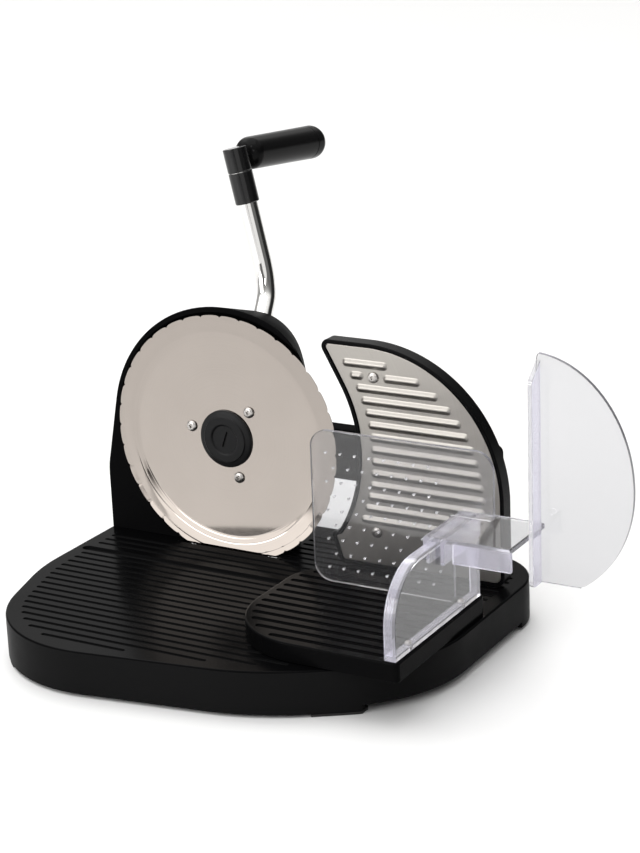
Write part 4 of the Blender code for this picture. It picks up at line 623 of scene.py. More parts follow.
cover = loft([housing_ring(y, -drawn_in)
              for y, drawn_in in edge_rings(cover_front, cover_back, 0.0002, 0.0016)])
boss = [(0.0285, cover_back - 0.002)] + arc(0.0255, boss_back - 0.003, 0.003, 0, 90, 15)
cover = join(cover, turned(boss, *crank_spot, 72))
cover = join(cover, turned([(0.0135, cover_back - 0.002), (0.0135, boss_back - 0.003),
                            (0.0125, boss_back - 0.002)], *blade_spot, 48))
cover = carve(cover, *rods(bush_bore, 0.0, 0.1, [crank_spot]),
              *rods(bush_bore, 0.0, boss_back - 0.004, [blade_spot]),
              *rods(screw_hole, 0.0, 0.1, cover_spots, 16))
set_down("housing_rear_cover", cover, "base", satin_black, "satin_black_plastic", "rear_cover")


# Screws: bright zinc-plated steel with a low pan head and a cross recess. Like ones hold the
# rear cover, the blade, the stop plate's sheet and the clear wall.
turning_marks, marks_in, marks_out = node_group(
    "turning_marks",
    {"Centre": "Vector", "Roughness": "Float", "Streaks": "Float", "Fineness": "Float",
     "Depth": "Float"},
    {"Roughness": "Float", "Normal": "Vector", "Shade": "Float"})
sums = partial(maths, turning_marks)
from_centre = vectors(turning_marks, "SUBTRACT", node(turning_marks, "TexCoord").outputs["Object"],
                      marks_in["Centre"])
flat_from_centre = vectors(turning_marks, "MULTIPLY", from_centre, (1.0, 0.0, 1.0))
ring_distance = vectors(turning_marks, "LENGTH", flat_from_centre)
ring_noise = node(turning_marks, "TexNoise",
                  {"W": sums("MULTIPLY", ring_distance, marks_in["Fineness"]), "Scale": 1.0,
                   "Detail": 3.0}, noise_dimensions="1D").outputs["Fac"]
cloud = noise(turning_marks, from_centre, 30.0, 4.0)
streak = sums("SUBTRACT", sums("ADD", ring_noise, cloud), 1.0)
marks_bump = node(turning_marks, "Bump", {"Height": sums("MULTIPLY", ring_noise, marks_in["Depth"]),
                                          "Distance": 1.0})
turning_marks.links.new(sums("MULTIPLY_ADD", streak, marks_in["Streaks"], marks_in["Roughness"]),
                        marks_out["Roughness"])
turning_marks.links.new(marks_bump.outputs["Normal"], marks_out["Normal"])
turning_marks.links.new(sums("MULTIPLY_ADD", streak, 0.10, 1.0), marks_out["Shade"])


def metal(name, colour, roughness, streaks, fineness, depth):
    """A turned or ground metal with faint rings round the blade's axis."""
    material, tree, shader, surface = textured(
        name, colour, roughness, 1.0, turning_marks, centre=tuple(blade_axis), streaks=streaks,
        fineness=fineness, depth=depth)
    shaded = vectors(tree, "SCALE", colour, scale=surface["Shade"])
    tree.links.new(shaded, shader.inputs["Base Color"])
    return material


def pan_screws(body, names, spots, head_radius, head_height, shank_radius, seat, tip):
    """Screws along Y at (x, z) spots; their heads look away from their tips."""
    out = 1 if seat > tip else -1
    profile = [(0.0, seat + out * head_height)]
    for a in (90, 70, 50, 30, 12):
        t = math.radians(a)
        profile.append((head_radius * (0.45 + 0.55 * math.cos(t)),
                        seat + out * head_height * (0.25 + 0.75 * math.sin(t))))
    profile += [(head_radius, seat + out * head_height * 0.12), (head_radius * 0.97, seat),
                (shank_radius, seat), (shank_radius, tip - out * -0.0006),
                (shank_radius * 0.6, tip)]
    half, arm = head_radius * 0.13, head_radius * 0.52
    top = seat + out * (head_height + 0.001)
    floor = seat + out * head_height * 0.35
    for name, (x, z) in zip(names, spots):
        mesh = turned(profile, x, z, 40)
        for turn in (0.3, 0.3 + math.pi / 2):
            cross = loft([[(side_x * (arm if y == top else arm * 0.5), y, side_z * half)
                           for side_x, side_z in ((-1, -1), (1, -1), (1, 1), (-1, 1))]
                          for y in (floor, top)])
            cross.transform(Matrix.Rotation(turn, 4, "Y"))
            cross.transform(Matrix.Translation((x, 0.0, z)))
            mesh = carve(mesh, cross)
        set_down(name + "_cross", mesh, body, zinc_steel, "bright_steel", name)


def dress(names, material):
    """Give pieces that keep the shapes of the frame their material."""
    for name in names:
        frame["nodes"][name].data.materials.clear()
        frame["nodes"][name].data.materials.append(material)


def numbered(name, count):
    return ["%s_%d" % (name, k + 1) for k in range(count)]


zinc_steel = metal("bright_zinc_steel", (0.50, 0.48, 0.46), 0.30, 0.08, 9000.0, 0.000002)
pan_screws("base", numbered("cover_screw", 4), cover_spots, 0.0034, 0.0022, 0.0014,
           cover_back + gap, housing_back - 0.011)
dress(numbered("base_screw", 3), zinc_steel)


# Plain bearings, gears and the blade's carrier: sintered bronze bushes, milky nylon gears and a
# black nylon disc. They keep the shapes of the frame and only get their materials here.
bronze = metal("sintered_bronze", (0.55, 0.38, 0.17), 0.48, 0.15, 3000.0, 0.000004)
dress(("spindle_bush", "crank_bush", "spindle_rear_bush", "crank_rear_bush"), bronze)
milky_nylon = plastic("milky_nylon", (0.78, 0.76, 0.69), 0.42, 0.5, grain_depth=0.00002, dust=0.0)
milky_nylon.node_tree.nodes["Principled BSDF"].inputs["Subsurface Weight"].default_value = 0.15
dress(("blade_gear", "drive_gear", "carriage_runner"), milky_nylon)
dress(("blade_carrier",), satin_black)
shaft_steel = metal("ground_shaft_steel", (0.58, 0.57, 0.55), 0.22, 0.10, 5000.0, 0.000002)
dress(("blade_spindle", "crank_shaft", "grip_pin", "adjusting_screw"), shaft_steel)


# The blade: one round of polished stainless steel. Its middle is pressed back two millimetres
# behind a flat rim, the rim is ground to an edge in waves, and three screws hold it.
blade_radius, blade_waves, wave_depth = 0.085, 36, 0.0012
blade_half, blade_dish = 0.0005, 0.0020
step_radius, step_start, step_length = 0.0735, 0.0042, 0.0052
bevel_radius = 0.0812
spindle_hole, thread_hole = 0.0063, 0.0019
blade_profile = [(r, blade_dish - blade_half, 0.0)
                 for r in (spindle_hole, 0.021, 0.040, 0.058, 0.0685)]
for k in range(9):
    t = k / 8
    ease = t * t * (3 - 2 * t)
    blade_profile.append((step_radius - step_start + step_length * t,
                          blade_dish * (1 - ease) - blade_half, 0.0))
blade_profile += [(0.0770, -blade_half, 0.0), (0.0800, -blade_half, 0.0),
                  (bevel_radius, -blade_half * 0.98, 0.5), (blade_radius, -0.00012, 1.0),
                  (blade_radius, 0.00012, 1.0), (0.0800, blade_half, 0.0),
                  (step_radius, blade_half, 0.0),
                  (step_radius - 0.0020, blade_dish + blade_half, 0.0),
                  (0.040, blade_dish + blade_half, 0.0),
                  (spindle_hole, blade_dish + blade_half, 0.0)]
blade_rings = []
for radius, y, waved in blade_profile:
    ring = []
    for a in circle(blade_waves * 16):
        # Long shallow bows with a narrow notch between each two.
        bow = abs(2 * ((a * blade_waves / (2 * math.pi)) % 1.0) - 1)
        rim = blade_radius - wave_depth * (0.25 * bow ** 2 + 0.75 * bow ** 9)
        r = radius - waved * (blade_radius - rim)
        ring.append((r * math.cos(a), y, blade_z + r * math.sin(a)))
    blade_rings.append(ring)
blade_mesh = loft(blade_rings, closed=True)
screw_circle, screw_angle = 0.0275, 48.0
screw_spots = [(screw_circle * math.cos(math.radians(screw_angle + turn)),
                blade_z + screw_circle * math.sin(math.radians(screw_angle + turn)))
               for turn in (0, 120, 240)]
blade_mesh = carve(blade_mesh, *rods(thread_hole, -past, past, screw_spots, 24))

# The steel's own material: turning rings, and a face that is slightly hollow and leans a little,
# so that it mirrors the table in most of it and the base's ribs only along its lowest part.
held_radius = 0.0706
bow_rate, bow_lean = (0.25, 0.0, 0.80), (-0.07, 0.0, -0.055)
step_lean, step_drop = (-0.0060, 0.0, -0.0057), 0.00138
band_slope, bevel_slope = 0.24, 0.14
blade_steel = metal("polished_blade_steel", (0.372, 0.334, 0.304), 0.045, 0.02, 1500.0, 0.0000004)
tree = blade_steel.node_tree
sums, lengths = partial(maths, tree), partial(vectors, tree)
surface = next(n for n in tree.nodes if n.type == "GROUP")
away = lengths("SUBTRACT", node(tree, "TexCoord").outputs["Object"], tuple(blade_axis))
away = lengths("MULTIPLY", away, (1.0, 0.0, 1.0))
radial = lengths("LENGTH", away)
held = lengths("SCALE", away, scale=sums("MINIMUM", sums("DIVIDE", held_radius, radial), 1.0))
bowed = lengths("MULTIPLY_ADD", held, bow_rate, bow_lean)
bow = lengths("DOT_PRODUCT", held, bowed)
step_rise = ramp(tree, radial, (step_radius - step_start, step_radius + 0.0010), kind="SMOOTHSTEP")
step_by_side = lengths("DOT_PRODUCT", held, step_lean)
step_rise = sums("MULTIPLY", step_rise, sums("SUBTRACT", step_by_side, step_drop))
band_reach = sums("MAXIMUM", sums("SUBTRACT", radial, step_radius), 0.0)
bevel_reach = sums("MAXIMUM", sums("SUBTRACT", radial, bevel_radius), 0.0)
rim_rise = sums("MULTIPLY", band_reach, band_slope)
rim_rise = sums("MULTIPLY_ADD", bevel_reach, bevel_slope, rim_rise)
hollow = sums("ADD", sums("ADD", bow, rim_rise), step_rise)
hollow_bump = node(tree, "Bump", {"Height": hollow, "Distance": 1.0, "Strength": 1.0,
                                  "Normal": surface.outputs["Normal"]})
tree.links.new(hollow_bump.outputs["Normal"], tree.nodes["Principled BSDF"].inputs["Normal"])
set_down("blade_disc_ground", blade_mesh, "blade", blade_steel, "polished_stainless", "blade_disc",
         sharp=25.0)
blade_front = blade_dish - blade_half
pan_screws("blade", numbered("blade_screw", 3), screw_spots, 0.0038, 0.0018, 0.0016,
           blade_front - gap, 0.0040)


# The lock cap: a satin black moulded cap with a coin slot in its recessed middle. Its stem
# reaches into the spindle, and a quarter turn frees the blade.
cap_seat = blade_front - gap
cap_front = cap_seat - 0.0034
cap_recess = coin_depth = 0.0012
cap_floor = cap_front + cap_recess
cap_profile = [(0.0, cap_floor), (0.0094, cap_floor), (0.0097, cap_floor - 0.0002),
               (0.0098, cap_floor - 0.0006)]
cap_profile += [(r, cap_front + inward) for r, inward in (
    (0.0100, 0.0004), (0.0104, 0.0001), (0.0110, 0.0), (0.0154, 0.0), (0.0157, 0.0002),
    (0.0160, 0.0008), (0.0165, 0.0010), (0.0186, 0.0014), (0.0194, 0.0018), (0.0198, 0.0024))]
cap_profile += [(0.0198, cap_seat), (0.0031, cap_seat), (0.0031, 0.0092), (0.0028, 0.0095),
                (0.0, 0.0095)]
coin = oblong(-0.0007, 0.0007, -0.0058, 0.0058, 0.0006, 30)
coin_slot = prism(coin, "Y", cap_floor - past, cap_floor + coin_depth)
coin_slot.transform(Matrix.Rotation(math.radians(20.0), 4, "Y"))
coin_slot.transform(Matrix.Translation((0.0, 0.0, blade_z)))
cap_black = plastic("cap_black_moulding", (0.0085, 0.0085, 0.0090), 0.42, 0.14, handled=0.12,
                    grain_depth=0.00003)
set_down("lock_cap_moulding", carve(turned(cap_profile, *blade_spot, 96), coin_slot), "lock",
         cap_black, "satin_black_plastic", "blade_lock_cap")


# The crank: a black hub on the shaft's end, and a chromed steel rod that leaves it, bends away
# from the housing and runs up into two black sleeves. The upper sleeve holds the grip's pin.
lean = math.radians(13.0)
arm_radius, arm_near_y, arm_far_y = 0.00675, 0.0585, 0.078
crank_reach, sleeve_start, sleeve_seam, sleeve_top = 0.1330, 0.100, 0.1217, 0.1384
sleeve_radius = 0.0083
pin_radius, pin_root = 0.0030, -0.0042
arm_start, arm_end = 0.0082, crank_reach - pin_radius - 0.0015
hub_radius, hub_end, hub_mouth = 0.012, boss_back + 0.0155, 0.03
arm_side = Vector((math.cos(lean), 0.0, math.sin(lean)))


def on_arm(reach, y):
    """A point at a distance from the crank's axis along the leaning arm."""
    return Vector((-reach * math.sin(lean), y, crank_z + reach * math.cos(lean)))


def tube(points, radius, steps=48):
    """A round bar along a row of points; the radius may change from point to point."""
    rings = []
    for k, point in enumerate(points):
        along = (points[min(k + 1, len(points) - 1)] - points[max(k - 1, 0)]).normalized()
        up = arm_side.cross(along).normalized()
        r = radius[k] if isinstance(radius, list) else radius
        rings.append([tuple(point + arm_side * (r * math.cos(a)) + up * (r * math.sin(a)))
                      for a in circle(steps)])
    return loft(rings)


def smooth_row(points, steps):
    """More points along a smooth curve through the given ones."""
    row = []
    last = len(points) - 1
    for k in range(last):
        p0, p1, p2, p3 = points[max(k - 1, 0)], points[k], points[k + 1], points[min(k + 2, last)]
        for j in range(steps):
            t = j / steps
            row.append(0.5 * (2 * p1 + (p2 - p0) * t + (2 * p0 - 5 * p1 + 4 * p2 - p3) * t ** 2
                              + (3 * p1 - p0 - 3 * p2 + p3) * t ** 3))
    return row + [points[-1]]


hub_profile = [(hub_radius - 0.001, boss_back + gap), (hub_radius, boss_back + 0.0013),
               (hub_radius, hub_end - 0.003), (hub_radius - 0.0009, hub_end - 0.0009),
               (hub_radius - 0.003, hub_end)]
hub_mesh = join(turned(hub_profile, *crank_spot),
                tube([on_arm(0.004, arm_near_y), on_arm(0.0148, arm_near_y)], arm_radius + 0.0009))
hub_mesh = carve(hub_mesh, *rods(0.0063, 0.0, hub_end - 0.0022, [crank_spot], 48))
hub_mesh = carve(hub_mesh, tube([on_arm(arm_start, arm_near_y), on_arm(hub_mouth, arm_near_y)],
                                arm_radius + gap))
set_down("crank_hub_moulding", hub_mesh, "crank", satin_black, "satin_black_plastic", "crank_hub")
bend = ((0.0155, 0.01), (0.0205, 0.11), (0.0254, 0.30), (0.0310, 0.57), (0.0370, 0.78),
        (0.0485, 0.95), (0.0590, 1.00))
arm_path = [on_arm(arm_start + gap, arm_near_y)]
arm_path += [on_arm(reach, arm_near_y + (arm_far_y - arm_near_y) * share) for reach, share in bend]
arm_path = smooth_row(arm_path, 5) + [on_arm(arm_end, arm_far_y)]
chrome = metal("bright_chrome_plate", (0.82, 0.815, 0.80), 0.055, 0.02, 900.0, 0.0000004)
set_down("crank_arm_rod", tube(arm_path, arm_radius, 64), "crank", chrome, "bright_chrome",
         "crank_arm")

along_arm = on_arm(1.0, 0.0) - on_arm(0.0, 0.0)
grip_droop = math.radians(4.9)
grip_root = on_arm(crank_reach, arm_far_y)
grip_along = Vector((0.0, math.cos(grip_droop), 0.0)) - along_arm * math.sin(grip_droop)
grip_up = arm_side.cross(grip_along)
grip_start, grip_length, grip_near, grip_far = 0.0095, 0.0975, 0.0112, 0.0119


def round_the_grip(profile, steps=64, closed=False):
    """A profile of (radius, distance) points spun about the grip's axis."""
    mesh = turned(profile, 0.0, 0.0, steps, closed)
    for vertex in mesh.vertices:
        x, y, z = vertex.co
        vertex.co = grip_root + arm_side * x + grip_along * y + grip_up * z
    return mesh


sleeve_black = plastic("sleeve_black_moulding", (0.0060, 0.0060, 0.0064), 0.14, 0.40, handled=0.10,
                       grain_depth=0.00002)
for name, start, end, end_round in (("crank_sleeve", sleeve_start, sleeve_seam - gap, 0.0004),
                                    ("crank_elbow", sleeve_seam, sleeve_top, 0.0008)):
    levels = edge_rings(start, end, 0.0008, end_round)
    mesh = tube([on_arm(reach, arm_far_y) for reach, _ in levels],
                [sleeve_radius - drawn_in for _, drawn_in in levels], 64)
    if name == "crank_elbow":
        mesh = join(mesh, round_the_grip([(0.0048, 0.002), (0.0048, grip_start - gap)], 40))
        mesh = carve(mesh, round_the_grip([(pin_radius + gap, pin_root - gap),
                                           (pin_radius + gap, 0.05)], 32))
    mesh = carve(mesh, tube([on_arm(sleeve_start - past, arm_far_y),
                             on_arm(arm_end + gap, arm_far_y)], arm_radius + gap))
    set_down(name + "_moulding", mesh, "crank", sleeve_black, "satin_black_plastic", name)


# The grip: a long moulding that turns on a steel pin, domed towards the elbow and satin along
# its length, with an end cap pressed on at a fine seam.
def grip_radius(distance):
    return grip_near + (grip_far - grip_near) * (distance - grip_start) / grip_length


grip_end = grip_start + grip_length
cap_seam = grip_end - 0.0165
grip_bore = pin_radius + gap
grip_dome, seam_step = 0.0085, 0.00025
grip_profile = [(grip_bore, grip_start)]
for k in range(13):
    a = math.radians(25 + 65 * k / 12)
    grip_profile.append((grip_radius(grip_start + grip_dome) * math.sin(a),
                         grip_start + grip_dome * (1 - math.cos(a))))
grip_profile += [(grip_radius(d), d) for d in (0.030, 0.050, 0.070, cap_seam - 0.0006)]
grip_profile += [(grip_radius(cap_seam) - seam_step, cap_seam - gap), (grip_bore, cap_seam - gap)]
grip_black = plastic("grip_black_moulding", (0.0040, 0.0040, 0.0042), 0.20, 0.07, handled=0.16,
                     grain_depth=0.00002, waviness=0.00004)
set_down("grip_moulding", round_the_grip(grip_profile, 72, True), "grip", grip_black,
         "soft_grey_plastic", "crank_grip")
end_profile = [(grip_radius(cap_seam) - seam_step, cap_seam),
               (grip_radius(cap_seam + 0.0003), cap_seam + 0.0003)]
cap_dome = grip_far * 0.95
for k in range(1, 15):
    a = math.radians(90 * k / 15)
    end_profile.append((grip_far * math.cos(a), grip_end - cap_dome + cap_dome * math.sin(a)))
end_profile.append((0.0, grip_end))
end_mesh = carve(round_the_grip(end_profile, 72),
                 round_the_grip([(grip_bore, cap_seam - past), (grip_bore, cap_seam + 0.004)], 32))
set_down("grip_end_moulding", end_mesh, "grip", grip_black, "soft_grey_plastic", "grip_end_cap")


# The stop plate: a crescent frame of satin black plastic that carries a pressed sheet of
# polished stainless steel with ribs. Two chromed rods guide it and a threaded rod moves it.
stop_y, stop_inner, stop_outer, stop_outer_x, stop_outer_z = 0.005, 0.098, 0.096, 0.105, -0.020
stop_rim, stop_proud, stop_depth, sheet_thick = 0.0025, 0.0008, 0.0105, 0.0008
rib_width, rib_height, rib_pitch, rib_top, rib_count = 0.0052, 0.0013, 0.00805, 0.062, 14
rib_foot, rib_crown = 0.0031, 0.0029
rod_boss, rod_socket = 0.0075, 0.0043
sheet_screw_x, sheet_screw_zs, screw_room = 0.1105, (0.05395, -0.0507), 0.0072
sheet_screw_spots = [(sheet_screw_x, blade_z + z) for z in sheet_screw_zs]

# The crescent seen from the front, round the blade's axis: first its foot, then the outer edge,
# the tip, the inner edge along the blade, and the heel.
stop_low = base_top + 0.0012 - blade_z
stop_right, stop_top = stop_outer_x + stop_outer, stop_outer_z + stop_outer
tip_x = 0.0700
tip_turn = tangent_angle(0.0, 0.0, stop_inner, tip_x, stop_top, -1)
inner_edge = arc(0.0, 0.0, stop_inner, tip_turn, -33.0, 2.5)
outer_edge = arc(stop_outer_x, stop_outer_z, stop_outer, 0, 90, 2.5)
foot_edge = rounded([(0.083, stop_low, 0.005), (stop_right, stop_low, 0.008),
                     (stop_right, stop_outer_z, 0), (0.1, stop_top, 0), (0.076, -0.055, 0)])
tip = rounded([(stop_outer_x, stop_top, 0), (tip_x, stop_top, 0.005), (*inner_edge[0], 0)], 8)
heel = rounded([(*inner_edge[-1], 0), (0.0765, -0.0555, 0.0032), (0.083, stop_low, 0)], 8)
crescent = [(u, v + blade_z)
            for u, v in foot_edge[:-3] + outer_edge + tip[1:-1] + inner_edge + heel[1:-1]]

frame_front = stop_y - stop_proud
frame_floor = stop_y + sheet_thick + gap
frame_back = frame_front + stop_depth
sheet_shape = inset(crescent, stop_rim + gap)
stop_mesh = prism(crescent, "Y", frame_front, frame_back, 0.0007, 0.0004)
stop_mesh = carve(stop_mesh, prism(inset(crescent, stop_rim), "Y", frame_front - past,
                                   frame_floor))
stop_mesh = carve(stop_mesh, prism(sheet_shape, "Y", frame_floor + 0.0025, frame_back + past))
stop_mesh = join(stop_mesh, *rods(rod_boss, frame_floor + 0.0015, frame_back, rod_spots, 40))
stop_mesh = carve(stop_mesh, *rods(rod_socket, frame_floor + 0.0029, frame_back + past, rod_spots),
                  *rods(thread_hole, 0.0, 0.02, sheet_screw_spots, 24))
stop_black = plastic("stop_black_moulding", (0.0026, 0.0026, 0.0028), 0.30, 0.04, handled=0.10,
                     grain_depth=0.00002)
set_down("stop_frame_moulding", stop_mesh, "stop", stop_black, "satin_black_plastic", "stop_frame")

sheet = prism(sheet_shape, "Y", stop_y, stop_y + sheet_thick, 0.0007, 0.0)
ribs = []
for k in range(rib_count):
    v = rib_top - rib_pitch * k
    left = math.sqrt((stop_inner + 0.010) ** 2 - v ** 2)
    right = stop_outer_x + math.sqrt((stop_outer - 0.0125) ** 2 - (v - stop_outer_z) ** 2)
    spans = [(left, right)]
    if abs(v - sheet_screw_zs[0]) < rib_pitch / 2:
        spans = [(left, sheet_screw_x - screw_room), (sheet_screw_x + screw_room, right)]
    for low, high in spans:
        rings = []
        for t in range(13):
            off_middle = rib_foot - rib_crown * t / 12
            rise = -0.0002
            if t:
                rise = rib_height * math.cos(math.pi * off_middle / (2 * rib_foot)) ** 2
            ring = inset(stadium(low, high, v + blade_z, rib_width, 15), rib_width / 2 - off_middle)
            rings.append([(u, stop_y - rise, z) for u, z in ring])
        ribs.append(loft(rings))
sheet = join(sheet, *ribs)
sheet = carve(sheet, *rods(thread_hole, 0.0, 0.02, sheet_screw_spots, 24))
sheet_steel = metal("polished_sheet_steel", (0.380, 0.360, 0.335), 0.40, 0.06, 700.0, 0.000001)
set_down("stop_sheet_pressed", sheet, "stop", sheet_steel, "polished_stainless", "stop_sheet",
         sharp=50.0)
pan_screws("stop", ("sheet_screw_top", "sheet_screw_bottom"), sheet_screw_spots, 0.0036, 0.0016,
           0.0016, stop_y - gap, frame_floor + 0.0045)
dress(("guide_rod_left", "guide_rod_right"), chrome)


# The thickness knob: a satin black nut with fine lobes round its rim, turned by hand behind the
# bracket. A shallow ring is moulded in its face.
knob_low, knob_high = bracket_y + 0.0243, bracket_y + 0.0393
knob_radius, knob_lobes, lobe_depth = 0.0175, 16, 0.0007
knob_rings = []
for y, drawn_in in edge_rings(knob_low, knob_high, 0.0006, 0.0018):
    ring = []
    for a in circle(256):
        radius = knob_radius - lobe_depth * (1 - math.cos(knob_lobes * a)) / 2 - drawn_in
        ring.append((adjuster_x + radius * math.cos(a), y, bracket_middle + radius * math.sin(a)))
    knob_rings.append(ring)
face_ring = [(0.0085, knob_high - 0.0008), (0.0128, knob_high - 0.0008),
             (0.0134, knob_high + 0.002), (0.0079, knob_high + 0.002)]
knob = carve(loft(knob_rings), turned(face_ring, adjuster_x, bracket_middle, 64, True))
knob = carve(knob, *rods(rod_bore, 0.0, 0.1, [(adjuster_x, bracket_middle)]))
set_down("thickness_knob_moulding", knob, "knob", satin_black, "satin_black_plastic",
         "thickness_knob")


# The carriage: a shallow tray in gloss black with ribs across its top, on a nylon shoe whose
# keel runs in the wide groove. A clear wall with a curved front stands along its right side.
tray_left, tray_right, tray_front, tray_back = 0.078, 0.205, -0.149, -0.031
tray_low = base_top + gap
tray_high = tray_low + 0.012
tray_shape = rounded([(tray_left, tray_back, 0.026), (tray_left, tray_front, 0.055),
                      (tray_right, tray_front, 0.0035), (tray_right, tray_back, 0.006)], 5)
tray_margin, tray_groove_width, tray_groove_pitch = 0.0045, 0.0036, 0.009
clear_thick, clear_round = 0.003, 0.0004
wall_right = tray_right - 0.0015
wall_left = wall_right - clear_thick
wall_front_y, wall_back_y, wall_height = -0.1475, -0.036, 0.053
wall_band, wall_band_thick = 0.008, 0.0025
wall_screws = [(wall_left - 0.0025, y) for y in (wall_front_y + 0.022, wall_back_y - 0.020)]
tray = prism(tray_shape, "Z", tray_low, tray_high, 0.0005, 0.0012)
tray = carve(tray, prism(inset(tray_shape, 0.0025), "Z", tray_low - past, tray_high - 0.003))
tray_border = inset(tray_shape, tray_margin)
tray_levels = [(tray_high + up, wider) for up, wider in (
    (0.004, 0.0043), (0.0, 0.0003), (-0.0003, 0.0), (-0.0008, 0.0), (-0.0011, -0.0003),
    (-0.0012, -0.0009))]
tray_grooves = []
groove_y = tray_front + tray_margin + tray_groove_width
while groove_y + tray_groove_width / 2 < tray_back - tray_margin:
    tray_grooves.append(groove(crossing(tray_border, groove_y)[0], wall_left - wall_band, groove_y,
                               tray_groove_width, tray_levels))
    groove_y += tray_groove_pitch
tray = carve(tray, *tray_grooves)
tray = carve(tray, *posts(thread_hole, 0.0, 0.1, wall_screws, 16))
tray_black = plastic("tray_black_moulding", (0.0024, 0.0024, 0.0026), 0.22, 0.015)
set_down("carriage_tray_moulding", tray, "carriage", tray_black, "gloss_black_plastic",
         "carriage_tray")


# The clear mouldings: water-clear acrylic. Their edges are painted brighter and faintly violet,
# a painted glow for the light that runs inside the sheet and comes out there.
def acrylic(name, colour, roughness, transmission, pass_light):
    """Clear plastic that lets most light through to what it shades."""
    material, tree, shader = new_material(name, colour, roughness)
    shader.inputs["Transmission Weight"].default_value = transmission
    shader.inputs["IOR"].default_value = 1.49
    swirl = noise(tree, node(tree, "TexCoord").outputs["Object"], 28.0, 1.5)
    ripple = node(tree, "Bump", {"Height": maths(tree, "MULTIPLY", swirl, 0.00006),
                                 "Distance": 1.0})
    tree.links.new(ripple.outputs["Normal"], shader.inputs["Normal"])
    tinted = vectors(tree, "SCALE", colour, scale=ramp(tree, swirl, after=(0.985, 1.0)))
    tree.links.new(tinted, shader.inputs["Base Color"])
    open_pass = node(tree, "BsdfTransparent", {"Color": (pass_light, pass_light, pass_light, 1.0)})
    chosen = node(tree, "MixShader", {0: node(tree, "LightPath").outputs["Is Shadow Ray"],
                                      1: shader.outputs[0], 2: open_pass.outputs[0]})
    tree.links.new(chosen.outputs[0], tree.nodes["Material Output"].inputs["Surface"])
    return material


# The second finish is a painted edge glow: a brighter, faintly violet, less clear colour for the
# sheets' edges.
clear_finishes = (acrylic("clear_acrylic", (0.70, 0.70, 0.715), 0.03, 0.985, 0.92),
                  acrylic("clear_acrylic_painted_edge_glow", (0.80, 0.785, 0.88), 0.16, 0.82, 0.85),
                  acrylic("clear_acrylic_spike", (0.95, 0.95, 0.96), 0.22, 0.70, 0.85))


def clear_piece(mesh, body, node_name, axis, spike_from=None):
    """A clear sheet; its narrow sides get the painted edge glow, and spikes behind a depth theirs.
    """
    thing = set_down(node_name + "_clear", mesh, body, clear_finishes, "clear_plastic", node_name)
    for face in thing.data.polygons:
        if spike_from is not None and face.center.y > spike_from + machine.y:
            face.material_index = 2
        elif abs(face.normal[axis]) < 0.45:
            face.material_index = 1


wall_low = tray_high + gap
wall_high = wall_low + wall_height
wall_shape = rounded([(wall_front_y, wall_low, 0), (wall_back_y, wall_low, 0),
                      (wall_back_y, wall_high, 0.004), (wall_front_y, wall_high, 0.034)], 5)
band_left = wall_left - (wall_band - clear_thick)
wall = prism(wall_shape, "X", band_left, wall_right, clear_round, clear_round)
wall = carve(wall, prism(inset(wall_shape, wall_band_thick), "X", band_left - past, wall_left))
wall = carve(wall, *posts(thread_hole, tray_high - 0.001, tray_high + 0.02, wall_screws, 16))
clear_piece(wall, "carriage", "carriage_wall", 0)
dress(("wall_screw_front", "wall_screw_rear"), zinc_steel)


# The pusher: a clear plate with rows of small spikes, a clear saddle that slides on the wall,
# and a tall clear shield with a flange in front of the pushing hand. One hand moves all three.
pusher_y = -0.052
slide_gap = 0.0004
saddle_low = tray_high + gap + wall_height + slide_gap
saddle_high = saddle_low + clear_thick
plate_low = tray_high + slide_gap
plate_high = plate_low + 0.100
plate_left = tray_left + 0.018
lip = 0.0025
lower_right = band_left - slide_gap - lip - gap
upper_right = wall_right + 0.018
plate_front, plate_back = pusher_y - clear_thick / 2, pusher_y + clear_thick / 2
plate_shape = rounded([(plate_left, plate_low, 0.012), (lower_right, plate_low, 0.004),
                       (lower_right, saddle_high + gap, 0), (upper_right, saddle_high + gap, 0.003),
                       (upper_right, plate_high, 0.012), (plate_left, plate_high, 0.012)], 7.5)
spike_pitch, spike_radius, spike_height, spike_margin = 0.0102, 0.0009, 0.0027, 0.009
spike_profile = [(spike_radius, plate_back - 0.0004), (spike_radius, plate_back + 0.0002),
                 (spike_radius * 0.55, plate_back + spike_height * 0.5),
                 (0.0003, plate_back + spike_height * 0.93), (0.0, plate_back + spike_height)]
spike_border = inset(plate_shape, 0.007)
spikes = []
row_z, row = plate_low + spike_margin, 0
while row_z < plate_high - spike_margin:
    x = plate_left + 0.010 + (row % 2) * spike_pitch / 2
    span = crossing(spike_border, row_z)
    while x < lower_right - 0.006:
        if span and span[0] < x < span[1]:
            spikes.append(turned(spike_profile, x, row_z, 10))
        x += spike_pitch
    row_z += spike_pitch * 0.93
    row += 1
plate = join(prism(plate_shape, "Y", plate_front, plate_back, clear_round, clear_round), *spikes)
clear_piece(plate, "pusher", "pusher_plate", 1, plate_back + 0.0002)

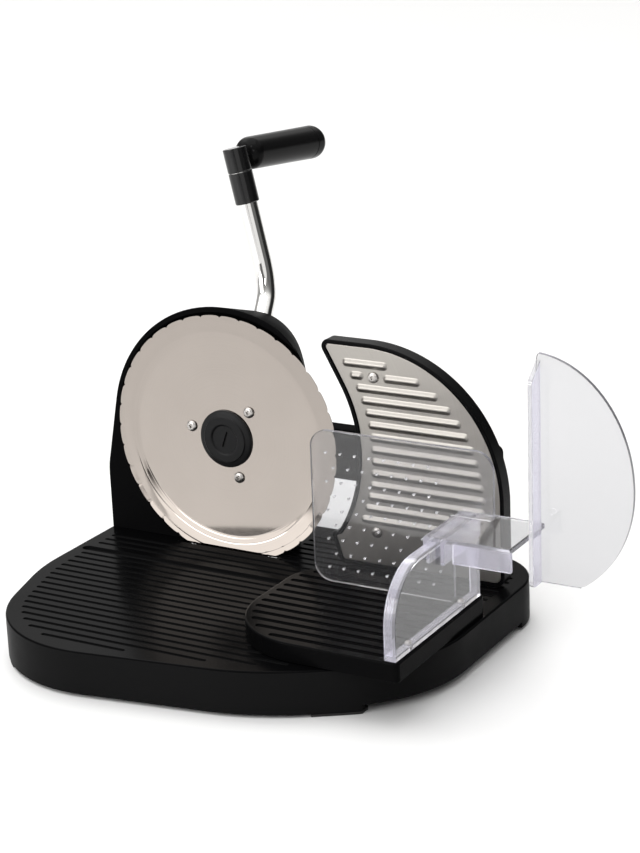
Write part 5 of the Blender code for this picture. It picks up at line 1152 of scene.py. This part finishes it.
inner_left, inner_right = band_left - slide_gap, wall_right + slide_gap
saddle_end = wall_right + 0.046
saddle_front, saddle_back = -0.090, -0.040
lip_low = saddle_low - 0.014
saddle_shape = rounded([
    (inner_left - lip, lip_low, 0.0006), (inner_left, lip_low, 0.0006), (inner_left, saddle_low, 0),
    (inner_right, saddle_low, 0), (inner_right, lip_low, 0.0006),
    (inner_right + lip, lip_low, 0.0006), (inner_right + lip, saddle_low, 0),
    (saddle_end, saddle_low, 0), (saddle_end, saddle_high, 0.001),
    (inner_left - lip, saddle_high, 0.0015)], 30)
rail = block(inner_right + 0.008, saddle_end - 0.0002, saddle_front + 0.0002,
             saddle_front + clear_thick, saddle_low - 0.012, saddle_low + 0.001)
saddle = join(prism(saddle_shape, "Y", saddle_front, saddle_back, clear_round, clear_round), rail)
clear_piece(saddle, "pusher", "pusher_saddle", 2)

shield_left = wall_right + 0.046 + gap
shield_end = shield_left + 0.061
shield_low, shield_middle, shield_above, shield_below = 0.066, 0.129, 0.079, 0.072
shield_flange = 0.012
lowest = math.degrees(math.asin((shield_low - shield_middle) / shield_below))
shield_shape = [(shield_left, shield_low)]
for k in range(41):
    a = math.radians(lowest + (86.0 - lowest) * k / 40)
    half = shield_above if a > 0 else shield_below
    shield_shape.append((shield_left - 0.003 + (shield_end - shield_left + 0.003) * math.cos(a),
                         shield_middle + half * math.sin(a)))
shield_high = shield_shape[-1][1]
shield_shape += [(shield_left + 0.0008, shield_high - 0.0008), (shield_left, shield_high - 0.003)]
flange_front, flange_back, flange_high = (plate_front - shield_flange, plate_back - 0.001,
                                          shield_high - 0.004)
flange_shape = rounded([
    (flange_front, shield_low, 0.004), (flange_back, shield_low, 0), (flange_back, flange_high, 0),
    (plate_front, flange_high, 0), (flange_front, shield_high - 0.014, 0.008)], 7.5)
shield = join(prism(shield_shape, "Y", plate_front, plate_back, clear_round, clear_round),
              prism(flange_shape, "X", shield_left + 0.0001, shield_left + clear_thick, 0.0003,
                    0.0003))
clear_piece(shield, "pusher", "hand_shield", 1)
